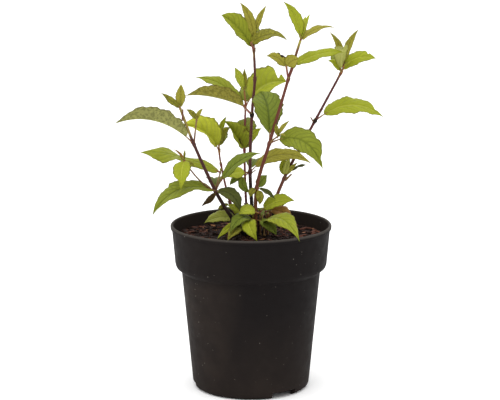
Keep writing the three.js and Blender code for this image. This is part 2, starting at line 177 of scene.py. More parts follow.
def gridPart(points, uv, material=0):
    # one surface of a piece: a grid of points with its own flat coordinates
    rows, columns = points.shape[:2]
    return points.reshape(-1, 3), gridFaces(rows, columns), uv.reshape(-1, 2), material


def addPiece(name, parts, materials, nodes):
    # joins the parts into one mesh, closes seams and poles, and hands the piece to the frame
    starts = np.cumsum([0] + [len(part[0]) for part in parts])
    points = np.concatenate([part[0] for part in parts])
    faces = np.concatenate([part[1] + start for part, start in zip(parts, starts)])
    uv = np.concatenate([part[2] for part in parts])
    slots = np.concatenate([np.broadcast_to(part[3], len(part[1])) for part in parts])
    mesh = bpy.data.meshes.new(name)
    mesh.vertices.add(len(points))
    mesh.vertices.foreach_set("co", (points * mm).ravel())
    mesh.loops.add(faces.size)
    mesh.loops.foreach_set("vertex_index", faces.ravel())
    mesh.polygons.add(len(faces))
    mesh.polygons.foreach_set("loop_start", np.arange(0, faces.size, 4))
    mesh.polygons.foreach_set("material_index", slots.astype(np.int32))
    mesh.uv_layers.new(name="surface").data.foreach_set("uv", uv[faces.ravel()].ravel())
    mesh.update(calc_edges=True)
    work = bmesh.new()
    work.from_mesh(mesh)
    bmesh.ops.remove_doubles(work, verts=work.verts, dist=1e-7)
    work.to_mesh(mesh)
    work.free()
    mesh.polygons.foreach_set("use_smooth", np.ones(len(mesh.polygons), bool))
    for material in materials:
        mesh.materials.append(material)
    piece = bpy.data.objects.new(name, mesh)
    bpy.context.scene.collection.objects.link(piece)
    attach(piece, "root")
    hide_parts(*nodes)
    print(f"{name}: {sum(len(face.vertices) - 2 for face in mesh.polygons)} triangles")
    return piece


def tubePart(path, radius, sides=10, uv=None, material=0):
    # rings of points round a path, each square to it; radius is one value for each ring or point,
    # and both ends close to a point
    along = unit(np.gradient(path, axis=0))
    axis = np.eye(3)[np.abs(along.mean(0)).argmin()]
    across = unit(axis - (along @ axis)[:, None] * along)
    other = np.cross(along, across)
    turn = np.linspace(0, 2 * np.pi, sides + 1)
    wide = np.broadcast_to(np.asarray(radius).reshape(len(path), -1), (len(path), sides + 1))
    spokes = np.cos(turn)[:, None] * across[:, None] + np.sin(turn)[:, None] * other[:, None]
    rings = path[:, None] + wide[..., None] * spokes
    ends = [np.repeat(path[end][None, None], sides + 1, axis=1) for end in (0, -1)]
    points = np.concatenate([ends[0], rings, ends[1]])
    if uv is None:
        share = np.linspace(0, 1, len(path))
        uv = np.stack(np.broadcast_arrays(share[:, None], turn / (2 * np.pi)), -1)
    return gridPart(points, np.concatenate([uv[:1], uv, uv[-1:]]), material)


# Pot: black polypropylene, moulded in a polished tool, dull with handling and a film of dust; a painted
# reflection lies on its left side and a painted highlight on its lip
pot = {
    "height": 175.2,
    "lip": 85,
    "lipHeight": 4.5,
    "bandTop": 83.4,
    "bandFoot": 80.1,
    "bandFootHeight": 133.5,
    "crease": 126,
    "bodyTop": 73.5,
    "bodyFoot": 62.2,
    "corner": 7.5,
    "foot": 57.6,
    "wall": 1.4,
    "baseUnder": 7,
    "baseThick": 1.6,
    "pad": 17,
    "turns": 240,
    "notches": {"count": 3, "first": 35, "half": 13.5, "height": 6.6},
    "drains": {"count": 6, "ring": 38, "radius": 4.5},
    "colour": "#171414",
    # brown dust at the foot and inside above the soil, and a painted reflection of a soft light on the left
    # side in the same colour
    "dustAndReflection": {
        "colour": "#3a312b",
        "patch": 22,
        "footTop": 100,  # towards the foot it starts here
        "foot": 0.3,
        "reflectionFrom": -6,  # painted reflection on the left side: leftwards it starts here and is full at the next value
        "reflectionTo": -34,
        "side": 0.32,
        "reflectionTop": 130,  # below the band the painted reflection starts here and is full at the next value
        "reflectionFull": 115,
        "reflectionOnBand": 0.3,  # the painted reflection left on the band above, as a share of that below it
        "insideFoot": 150,
        "insideFull": 155,
        "inside": 0.4,
    },
    # a painted highlight along the top of the lip, in pale grey
    "paintedLipHighlight": {"colour": "#4c4742", "foot": 172.8, "full": 174.5, "share": 0.6},
    "grit": {"colour": "#9a948a", "size": 2.6, "share": 0.45},
    "dull": 9,  # size of the patches of more and less gloss
    "wave": {"size": 30, "depth": 0.25},
    "grain": {"size": 0.8, "depth": 0.02},
}


def roundedOutline(corners, steps=5):
    # corners are radius, height and rounding; each is cut off at its rounding on both sides and
    # replaced by a quadratic curve that starts and ends along the two sides
    points = np.array([corner[:2] for corner in corners], float)
    rounding = np.array([corner[2] for corner in corners], float)[1:-1, None]
    middle = points[1:-1]
    before = unit(points[:-2] - middle) * rounding + middle
    after = unit(points[2:] - middle) * rounding + middle
    t = np.linspace(0, 1, steps)[None, :, None]
    curve = (1 - t) ** 2 * before[:, None] + 2 * t * (1 - t) * middle[:, None] + t ** 2 * after[:, None]
    return np.concatenate([points[:1], curve.reshape(-1, 2), points[-1:]])


def potRadius(height):
    # outer radius of the tapered wall, body below the crease and band above it
    body = np.interp(height, [pot["corner"], pot["crease"]], [pot["bodyFoot"], pot["bodyTop"]])
    top = pot["height"] - pot["lipHeight"]
    band = np.interp(height, [pot["bandFootHeight"], top], [pot["bandFoot"], pot["bandTop"]])
    return np.where(height < pot["crease"], body, band)


def turned(radius, height, turns):
    # radius and height carried round the vertical axis, from the front by way of the right
    turn = np.linspace(0, 2 * np.pi, turns + 1)
    return np.stack(np.broadcast_arrays(radius * np.sin(turn), -radius * np.cos(turn), height), -1)


def potOutline():
    # the wall's section: from the middle of the underside out over the pad and the standing ring,
    # up the outside to the lip, and down the inside to the floor
    height, lip, wall = pot["height"], pot["lip"], pot["wall"]
    lipFoot = height - pot["lipHeight"]
    floor = pot["baseUnder"] + pot["baseThick"]
    innerFoot = float(potRadius(floor)) - wall
    return roundedOutline([
        (0, 0.8, 0),
        (3, 0.8, 0.5),
        (3.6, 0, 0.3),
        (pot["pad"], 0, 0.5),
        (pot["pad"] + 1.5, pot["baseUnder"], 1.2),
        (pot["bodyFoot"] - 2.4, pot["baseUnder"], 1.5),
        (pot["foot"] - 3, 0, 0.6),
        (pot["foot"], 0, 0.6),
        (pot["foot"] + 4, 2.6, 2.2),
        (pot["bodyFoot"], pot["corner"], 2),
        (pot["bodyTop"], pot["crease"], 0.5),
        (pot["bodyTop"] + 0.8, pot["crease"] + 0.6, 0.3),
        (pot["bandFoot"] - 1.2, pot["bandFootHeight"] - 3.2, 0.8),
        (pot["bandFoot"], pot["bandFootHeight"], 1.4),
        (pot["bandTop"], lipFoot, 0.3),
        (lip - 0.2, lipFoot + 0.3, 0.5),
        (lip, height - 1.3, 0.5),
        (lip - 0.7, height, 0.7),
        (pot["bandTop"] - 1, height, 0.6),
        (float(potRadius(height)) - wall, height - 1.2, 0.5),
        (pot["bandFoot"] - wall, pot["bandFootHeight"], 1),
        (pot["bodyTop"] + 1 - wall, pot["crease"] + 1, 0.5),
        (pot["bodyTop"] - wall, pot["crease"] - 1, 0.5),
        (innerFoot, floor, 2),
        (0, floor, 0),
    ])


def cutter(outline, low, high):
    # an upright block of the given outline, used to cut an opening
    corners = np.array(outline, float)
    count = len(corners)
    points = np.concatenate([np.column_stack([corners, np.full(count, z)]) for z in (low, high)])
    sides = [(k, (k + 1) % count, (k + 1) % count + count, k + count) for k in range(count)]
    caps = [tuple(range(count))[::-1], tuple(range(count, 2 * count))]
    mesh = bpy.data.meshes.new("cutter")
    mesh.from_pydata((points * mm).tolist(), [], sides + caps)
    block = bpy.data.objects.new("cutter", mesh)
    bpy.context.scene.collection.objects.link(block)
    return block


def onCircle(radius, azimuth):
    # azimuths run from the front towards the right
    turn = np.radians(azimuth)
    return radius * np.sin(turn), -radius * np.cos(turn)


def potCutters():
    # blocks for the notches in the standing ring and the holes in the base plate
    notch, drain = pot["notches"], pot["drains"]
    inner, outer = pot["foot"] - 8, pot["foot"] + 9
    for k in range(notch["count"]):
        middle = notch["first"] + 360 * k / notch["count"]
        low, high = middle - notch["half"], middle + notch["half"]
        corners = [(inner, low), (outer, low), (outer, high), (inner, high)]
        yield cutter([onCircle(*corner) for corner in corners], -1, notch["height"])
    for k in range(drain["count"]):
        middle = np.array(onCircle(drain["ring"], (k + 0.5) * 360 / drain["count"]))
        turn = np.arange(24) * np.pi / 12
        rim = middle + drain["radius"] * np.column_stack([np.cos(turn), np.sin(turn)])
        yield cutter(rim, pot["baseUnder"] - 1, pot["baseUnder"] + pot["baseThick"] + 1)


def mouldedPolypropylene():
    # satin black with almost no gloss left: brown dust lies towards the foot and inside above the soil,
    # a painted reflection of a soft light lies in the same brown on the left side below the band and
    # weaker on it, the top of the lip carries a painted grey highlight, and there is grit
    material, add, finish = newMaterial("moulded_polypropylene", 0.6, specular=0.04, ior=1.49)
    dustAndReflection, paintedLipHighlight, grit = pot["dustAndReflection"], pot["paintedLipHighlight"], pot["grit"]
    place = add("TexCoord").outputs["Object"]
    axes = add("SeparateXYZ", {0: place}).outputs
    low = add("MapRange", {0: axes[2], 1: dustAndReflection["footTop"] * mm, 2: 0, 4: dustAndReflection["foot"]})
    # painted reflection of a soft light on the left side: full below the band, weaker on it
    left = add("MapRange", {0: axes[0], 1: dustAndReflection["reflectionFrom"] * mm, 2: dustAndReflection["reflectionTo"] * mm, 4: dustAndReflection["side"]})
    below = add("MapRange", {
        0: axes[2], 1: dustAndReflection["reflectionTop"] * mm, 2: dustAndReflection["reflectionFull"] * mm, 3: dustAndReflection["reflectionOnBand"]})
    left = add("Math", {0: left, 1: below}, operation="MULTIPLY")
    # the dust at the foot and the painted reflection on the left, whichever is stronger
    footDustAndSideReflection = add("Math", {0: low, 1: left}, operation="MAXIMUM")
    patches = add("TexNoise", {"Vector": place, "Scale": 1 / (dustAndReflection["patch"] * mm), "Detail": 4})
    cloudy = add("MapRange", {0: patches, 1: 0.3, 2: 0.7, 3: 0.6, 4: 1.25})
    footDustAndSideReflection = add("Math", {0: footDustAndSideReflection, 1: cloudy}, operation="MULTIPLY")

    # a place is inside the band where its distance from the axis, less the band's taper, is
    # smaller than that of the middle of the band's wall
    taper = (pot["bandTop"] - pot["bandFoot"]) / (pot["height"] - pot["lipHeight"] - pot["bandFootHeight"])
    wall = pot["bandFoot"] - taper * pot["bandFootHeight"] - pot["wall"] / 2
    level = add("VectorMath", {0: place, 1: (1, 1, 0)}, operation="MULTIPLY")
    reach = add("VectorMath", {0: level}, operation="LENGTH")
    reach = add("Math", {0: axes[2], 1: -taper, 2: reach}, operation="MULTIPLY_ADD")
    inside = add("MapRange", {0: reach, 1: (wall + 0.2) * mm, 2: (wall - 0.2) * mm, 4: dustAndReflection["inside"]})
    above = add("MapRange", {0: axes[2], 1: dustAndReflection["insideFoot"] * mm, 2: dustAndReflection["insideFull"] * mm})
    inside = add("Math", {0: inside, 1: above}, operation="MULTIPLY")
    # painted highlight along the top of the lip
    lip = add("MapRange", {
        0: axes[2], 1: paintedLipHighlight["foot"] * mm, 2: paintedLipHighlight["full"] * mm, 4: paintedLipHighlight["share"]})
    specks = add("TexNoise", {"Vector": place, "Scale": 1 / (grit["size"] * mm), "Detail": 1})
    specks = add("MapRange", {0: specks, 1: 0.775, 2: 0.8, 4: grit["share"]})
    # over the black: dust and the painted reflection, dust inside, the painted lip highlight, grit
    colour = layered(add, linear(pot["colour"]), [
        (footDustAndSideReflection, linear(dustAndReflection["colour"])),
        (inside, linear(dustAndReflection["colour"])),
        (lip, linear(paintedLipHighlight["colour"])),
        (specks, linear(grit["colour"])),
    ])

    dull = add("TexNoise", {"Vector": place, "Scale": 1 / (pot["dull"] * mm), "Detail": 3})
    roughness = add("MapRange", {0: dull, 1: 0.3, 2: 0.7, 3: 0.55, 4: 0.7})
    waves = add("TexNoise", {"Vector": place, "Scale": 1 / (pot["wave"]["size"] * mm), "Detail": 1})
    relief = add("Bump", {"Height": waves, "Distance": pot["wave"]["depth"] * mm})
    grain = add("TexNoise", {"Vector": place, "Scale": 1 / (pot["grain"]["size"] * mm), "Detail": 2})
    relief = add("Bump", {"Height": grain, "Distance": pot["grain"]["depth"] * mm, "Normal": relief})
    finish({"Base Color": colour, "Roughness": roughness, "Normal": relief})
    return material


def makePot():
    outline = potOutline()[::-1]
    points = turned(outline[:, 0, None], outline[:, 1, None], pot["turns"])
    share = np.linspace(0, 1, pot["turns"] + 1)
    uv = np.stack(np.broadcast_arrays(share, outline[:, 1, None] / pot["height"]), -1)
    piece = addPiece("pot_shell", [gridPart(points, uv)], [mouldedPolypropylene()], ["pot"])
    for block in potCutters():
        cut = piece.modifiers.new("opening", "BOOLEAN")
        cut.object = block
        cut.solver = "EXACT"
        evaluated = piece.evaluated_get(bpy.context.evaluated_depsgraph_get())
        mesh = bpy.data.meshes.new_from_object(evaluated)
        piece.modifiers.remove(cut)
        piece.data = mesh
        bpy.data.objects.remove(block)
    piece.data.set_sharp_from_angle(angle=np.radians(35))
    return piece


# Soil: peat and composted bark, damp and dark, with chips of bark pressed into it
soil = {
    "middle": 163,
    "edge": 161.6,
    "clear": 1.75,  # wall and gap
    "rings": 90,
    "turns": 220,
    "seed": 11,
    "chips": {"count": 620, "reach": 0.965, "long": (3.5, 11), "wide": (0.3, 0.6), "thick": (0.9, 2.2)},
    "crumbs": {"count": 2600, "long": (0.8, 2.4), "woody": 0.25},
    "peat": "#120c0a",
    "fibre": "#301e16",
    "tones": ["#33201a", "#63392a", "#b37c56"],
    "shares": [0.62, 0.3, 0.08],  # of dark, red and pale chips
}
soilTop = soil["middle"] + 0.35
soilWall = float(potRadius(soil["edge"])) - soil["clear"]


def soilHeight(x, y):
    # a low dome with lumps of three sizes; it dips where it meets the wall
    spot = np.stack([x, y, np.zeros_like(x)], -1)
    far = np.hypot(x, y)
    dome = np.interp(far, [0, 24, soilWall], [soil["middle"], soil["middle"], soil["edge"]])
    lumps = 1.2 * valueNoise(spot, 14, 3) + 0.8 * valueNoise(spot, 5.5, 4) + 0.4 * valueNoise(spot, 2.2, 5)
    calm = np.clip((soilWall - far) / 6, 0, 1) * np.clip((far - 2) / 16, 0.25, 1)
    return dome + lumps * calm - 0.6


def dampPeat():
    # fibrous and almost black when damp: rough, no gloss, mottled at 3 mm
    return twoTone("damp_peat", 0.95, 0.2, linear(soil["peat"]), linear(soil["fibre"]),
                   (3, 5), 0.7, relief=(1.4, 4, 0.8))


def barkChip(name, tone):
    # split bark: long fibres, a corky pale face and darker broken ends
    return twoTone(name, 0.85, 0.25, darker(tone, 0.45), linear(tone), (2.5, 4), 0.7,
                   relief=(0.9, 3, 0.3))


def lumpPart(middle, size, turn, tilt, seed, rows, columns, material=0):
    # a rough lump: a sphere of rows and columns stretched to its size, flattened by a power of
    # its height, roughened by noise, then tilted and turned
    polar = np.linspace(0, np.pi, rows)[:, None]
    around = np.linspace(0, 2 * np.pi, columns + 1)[None]
    ball = np.stack(np.broadcast_arrays(
        np.sin(polar) * np.cos(around), np.sin(polar) * np.sin(around), -np.cos(polar)), -1)
    ball = np.sign(ball) * np.abs(ball) ** 0.75
    ball = ball * (1 + 0.22 * valueNoise(ball * 10 + seed * 31, 9, seed))[..., None]
    points = ball * np.array(size) / 2
    c, s = np.cos(tilt), np.sin(tilt)
    points = points @ np.array([[c, 0, s], [0, 1, 0], [-s, 0, c]])
    c, s = np.cos(turn), np.sin(turn)
    points = points @ np.array([[c, s, 0], [-s, c, 0], [0, 0, 1]])
    uv = np.stack(np.broadcast_arrays(polar, around), -1)
    return gridPart(points + middle, uv, material)


def lieOnSoil(x, y, lift):
    # the place on the soil's surface, raised by lift
    return x, y, float(soilHeight(np.array(x), np.array(y))) + lift


def makeSoil():
    top = turned(np.linspace(0, 1, soil["rings"])[:, None] * soilWall, 0.0, soil["turns"])
    top[..., 2] = soilHeight(top[..., 0], top[..., 1])
    floor = pot["baseUnder"] + pot["baseThick"] + 0.35
    sides = np.array([
        (pot["bandFoot"] - soil["clear"], pot["bandFootHeight"]),
        (pot["bodyTop"] - soil["clear"], pot["crease"] - 1),
        (float(potRadius(floor)) - soil["clear"], floor + 0.4),
        (0, floor),
    ])
    under = turned(sides[:, 0, None], sides[:, 1, None], soil["turns"])
    points = np.concatenate([top, under])[::-1]
    part = gridPart(points, points[..., :2] / 100)
    addPiece("potting_mix", [part], [dampPeat()], ["soil"])

    rng = np.random.default_rng(soil["seed"])
    chip, crumb = soil["chips"], soil["crumbs"]
    chips = []
    for k in range(chip["count"]):
        far = soilWall * chip["reach"] * np.sqrt(rng.uniform(0.004, 1))
        turn = rng.uniform(0, 2 * np.pi)
        long = rng.uniform(*chip["long"]) * (1 if rng.uniform() < 0.8 else 1.5)
        far = min(far, soilWall - 0.4 - long / 2)
        size = (long, long * rng.uniform(*chip["wide"]), rng.uniform(*chip["thick"]))
        place = lieOnSoil(far * np.sin(turn), -far * np.cos(turn), 0.25 * size[2])
        tilt = rng.normal(0, 0.2)
        chips.append(lumpPart(place, size, rng.uniform(0, 2 * np.pi), tilt, k, 5, 8,
                              rng.choice(3, p=soil["shares"])))
    tones = [barkChip(f"bark_chip_{name}", tone)
             for name, tone in zip(("dark", "red", "pale"), soil["tones"])]
    addPiece("bark_chips", chips, tones, [])

    crumbs = []
    for k in range(crumb["count"]):
        far = (soilWall - 2) * np.sqrt(rng.uniform(0.002, 1))
        turn = rng.uniform(0, 2 * np.pi)
        size = rng.uniform(*crumb["long"]) * rng.uniform(0.6, 1.2, 3)
        place = lieOnSoil(far * np.sin(turn), -far * np.cos(turn), 0.2 * size[2])
        woody = int(rng.uniform() < crumb["woody"])
        crumbs.append(lumpPart(place, size, turn, 0, k, 4, 5, woody))
    addPiece("peat_crumbs", crumbs, [dampPeat(), tones[0]], [])


# Stems: smooth young bark, dark red with raised pores, browner and rougher at the foot. The skin
# is the colour of the foot, middle and tip, and the share of the length where the last starts
stems = {
    "left": {
        "foot": 2.2, "tip": 1.3, "skin": ("#1e1210", "#42211e", "#86743c", 0.8),
        "nodes": [(-6, -4, soilTop), (-19, -9, 182), (-37, -14, 213), (-59, -22, 264), (-73, -28, 303)],
    },
    "behind": {
        "foot": 1.5, "tip": 0.8, "skin": ("#4a2822", "#6c3a34", "#94703e", 0.85),
        "nodes": [(-7, 6, soilTop), (-22, 16, 194), (-32, 36, 232), (-34, 42, 246), (-35, 46, 259)],
    },
    "slender": {
        "foot": 1.5, "tip": 0.9, "skin": ("#4a2420", "#6a2c2a", "#8a6236", 0.9),
        "nodes": [(-1, 9, soilTop), (-5, 16, 192), (-7, 30, 249), (-6, 38, 294), (-7, 40, 310)],
    },
    "middle": {
        "foot": 2.1, "tip": 1.2, "skin": ("#150e0e", "#4a2320", "#8e7836", 0.95), "scars": (2,),
        "nodes": [(3, 1, soilTop), (-1, 3, 230), (1, 9, 290), (4, 11, 327), (3, 12, 358), (3, 12, 368)],
    },
    "tall": {
        "foot": 2.1, "tip": 1.3, "skin": ("#643a24", "#5c2c20", "#96903a", 0.97),
        "nodes": [(5, -6, soilTop), (6, -12, 216), (19, -22, 265), (38, -33, 333), (50, -40, 374)],
    },
    "right": {
        "foot": 2.0, "tip": 1.1, "skin": ("#6e432f", "#4c2220", "#9a6a34", 0.95), "scars": (2,),
        "nodes": [(12, 0, soilTop), (35, 6, 223), (67, 11, 283), (94, 16, 333), (97, 16, 341)],
    },
}
bark = {
    "step": 0.8,
    "sides": 20,
    "flare": {"height": 5, "proud": 1.1},
    "swelling": {"reach": 2.3, "proud": 0.6},  # at a node
    "ring": {"above": 3.2, "reach": 0.6, "deep": 0.25},  # a little above the node
    "scar": {"reach": 3.2, "proud": 1.1, "sunk": 0.15},
    "pores": 1.1,  # for each millimetre of stem
    "pore": {"high": 0.9, "wide": 0.35, "proud": 0.16},
    "streak": 1.6,  # widths of the streaks and pale pores in the colour and of the fine fibres
    "poreSpot": 0.9,
    "fibre": 0.5,
    "fibreDepth": 0.06,
    "poreColour": "#8a6a56",
    "soiled": "#17100d",
}


def throughNodes(nodes, step):
    # a curve through the nodes: between two of them it is the cubic whose slope at each is half
    # the way from the node before to the node after; then points are set at even steps along it
    points = np.array(nodes, float)
    points = np.concatenate([[2 * points[0] - points[1]], points, [2 * points[-1] - points[-2]]])
    t = np.linspace(0, 1, 60, endpoint=False)[None, :, None]
    a, b, c, d = (points[k:len(points) - 3 + k, None] for k in range(4))
    curve = 0.5 * (2 * b + (c - a) * t + (2 * a - 5 * b + 4 * c - d) * t ** 2
                   + (3 * b - a - 3 * c + d) * t ** 3)
    curve = np.concatenate([curve.reshape(-1, 3), points[-2:-1]])
    reach = np.concatenate([[0], np.cumsum(np.linalg.norm(np.diff(curve, axis=0), axis=1))])
    even = np.linspace(0, reach[-1], int(reach[-1] / step) + 2)
    path = np.stack([np.interp(even, reach, curve[:, k]) for k in range(3)], -1)
    places = [even[np.linalg.norm(path - node, axis=1).argmin()] for node in nodes]
    return path, even, np.array(places)


def stemPart(stem, seed):
    # radius along and around: the taper, a flare at the foot, a swelling at each node with a
    # fine ring above it, long shallow ridges, and raised oval pores
    rng = np.random.default_rng(seed)
    path, along, places = throughNodes(stem["nodes"], bark["step"])
    turn = np.linspace(0, 2 * np.pi, bark["sides"] + 1)
    length = along[-1]
    radius = np.interp(along, [0, length], [stem["foot"], stem["tip"]])
    flare, swelling, ring, pore = bark["flare"], bark["swelling"], bark["ring"], bark["pore"]
    radius = radius + flare["proud"] * np.exp(-along / flare["height"])
    for place in places[1:-1]:
        radius = radius + swelling["proud"] * np.exp(-((along - place) / swelling["reach"]) ** 2)
        radius = radius - ring["deep"] * np.exp(-((along - place - ring["above"]) / ring["reach"]) ** 2)
    spot = np.stack(np.broadcast_arrays(
        3 * np.cos(turn) + 0 * along[:, None], 3 * np.sin(turn), along[:, None] / 7), -1)
    rough = np.interp(along, [0, 25, 60], [0.28, 0.1, 0.05])[:, None]
    relief = rough * (
        valueNoise(spot, 0.9, seed) + 0.5 * valueNoise(spot * (1, 1, 6), 0.8, seed + 50))
    for _ in range(int(bark["pores"] * length)):
        s, a = rng.uniform(0, length), rng.uniform(0, 2 * np.pi)
        off = (turn - a + np.pi) % (2 * np.pi) - np.pi
        above = (along[:, None] - s) / pore["high"]
        beside = off[None] * radius[:, None] / pore["wide"]
        relief = relief + pore["proud"] * np.exp(-above ** 2 - beside ** 2)
    relief[:, -1] = relief[:, 0]
    uv = np.stack(np.broadcast_arrays((along / length)[:, None], turn / (2 * np.pi)), -1)
    return tubePart(path, radius[:, None] + relief, bark["sides"], uv)


def scarPart(stem, node):
    # a collar of old bark where a pair of leaves has dropped: a bulge that fades at both ends
    path, along, places = throughNodes(stem["nodes"], bark["step"])
    scar = bark["scar"]
    share = (along - places[node]) / scar["reach"]
    near = np.abs(share) < 1
    radius = np.interp(along[near], [0, along[-1]], [stem["foot"], stem["tip"]])
    bulge = scar["proud"] * np.cos(np.pi / 2 * share[near]) - scar["sunk"]
    return tubePart(path[near], radius + bulge, 16, material=1)


def youngBark(name, foot, middle, tip, green):
    # a waxy skin in three colours, the last from the share green of the length on, with pale
    # pores and a foot blackened by the soil
    material, add, finish = newMaterial(f"{name}_young_bark", 0.55, specular=0.25)
    coords = add("TexCoord").outputs
    share = add("SeparateXYZ", {0: coords["UV"]}).outputs[0]
    place = add("Mapping", {"Vector": coords["Object"], "Scale": (1, 1, 0.12)})
    streaks = add("TexNoise", {"Vector": place, "Scale": 1 / (bark["streak"] * mm), "Detail": 3})
    age = add("Math", {0: streaks, 1: 0.25, 2: share}, operation="MULTIPLY_ADD")
    older = add("MapRange", {0: age, 1: 0.3, 2: 0.55})
    younger = add("MapRange", {0: age, 1: green + 0.1, 2: green + 0.16})
    soiled = add("MapRange", {0: share, 1: 0.08, 2: 0.02})
    place = add("Mapping", {"Vector": coords["Object"], "Scale": (1, 1, 0.6)})
    pores = add("TexNoise", {"Vector": place, "Scale": 1 / (bark["poreSpot"] * mm), "Detail": 1})
    pores = add("MapRange", {0: pores, 1: 0.66, 2: 0.72, 4: 0.35})
    colour = layered(add, linear(foot), [
        (older, linear(middle)),
        (younger, linear(tip)),
        (soiled, linear(bark["soiled"])),
        (pores, linear(bark["poreColour"])),
    ])
    place = add("Mapping", {"Vector": coords["Object"], "Scale": (1, 1, 0.2)})
    fibres = add("TexNoise", {"Vector": place, "Scale": 1 / (bark["fibre"] * mm), "Detail": 2})
    relief = add("Bump", {"Height": fibres, "Distance": bark["fibreDepth"] * mm})
    finish({"Base Color": colour, "Normal": relief})
    return material


def oldBark():
    # dead grey-brown stubs and crown: cracked lengthways, no gloss
    return twoTone("old_crown_bark", 0.9, 0.2, linear("#120c0a"), linear("#3c2c22"),
                   (2, 4), 0.7, (1, 1, 0.2), relief=(2, 4, 0.5))


stubs = [
    {"at": (4.5, 1.5), "height": 26, "radius": 3.4, "lean": (0.02, -0.04)},
    {"at": (7.5, -2), "height": 18, "radius": 2.8, "lean": (0.12, -0.02)},
    {"at": (1.5, 4.5), "height": 20, "radius": 2.6, "lean": (-0.08, 0.08)},
]
stubBark = {"taper": 0.25, "flare": {"height": 3, "proud": 2.2}, "rings": 48, "sides": 24}


def stubPart(stub, seed):
    # a cut stub: a straight limb whose radius falls evenly, plus a flare that fades with height and
    # the relief of its cracks
    flare = stubBark["flare"]
    along = np.linspace(0, stub["height"], stubBark["rings"])
    lean = np.array([*stub["lean"], 1])
    path = np.array([*stub["at"], soilTop]) + along[:, None] * lean
    turn = np.linspace(0, 2 * np.pi, stubBark["sides"] + 1)
    radius = stub["radius"] * (1 - stubBark["taper"] * along / stub["height"])
    radius = radius + flare["proud"] * np.exp(-along / flare["height"])
    spot = np.stack(np.broadcast_arrays(
        3 * np.cos(turn) + 0 * along[:, None], 3 * np.sin(turn), along[:, None] / 5), -1)
    relief = 0.5 * valueNoise(spot, 1.1, seed) + 0.25 * valueNoise(spot * (1, 1, 5), 0.8, seed + 9)
    relief[:, -1] = relief[:, 0]
    return tubePart(path, radius[:, None] + relief, stubBark["sides"])


def makeStems():
    old = oldBark()
    for seed, (name, stem) in enumerate(stems.items()):
        parts = [stemPart(stem, seed)] + [scarPart(stem, node) for node in stem.get("scars", ())]
        skins = [youngBark(name, *stem["skin"]), old]
        addPiece(f"{name}_stem_bark", parts, skins, [f"stem_{name}"])
    parts = [stubPart(stub, seed) for seed, stub in enumerate(stubs)]
    addPiece("crown_bark", parts, [old], ["root_crown"])


# Leaves: soft and thin, sunken curved veins above, paler below with a raised midrib
toLight = (0, -0.6, 1)
toFront = (0, -1, 0)
toBack = (0, 0.3, 1)
cupped = (0, -1, 1)  # with both halves turned up by 45 degrees one stands and one lies flat


def leaf(tip, width, arch, face=toLight, stalk=0.12, tone="green", **look):
    # tip from the middle of the spray, full width, rise of the midrib as a share of the length,
    # where the upper side looks, share of the length that is stalk; look bends and tears the
    # blade, and away moves its start from the node
    return {"tip": tip, "width": width, "arch": arch, "face": face, "stalk": stalk, "tone": tone,
            **look}


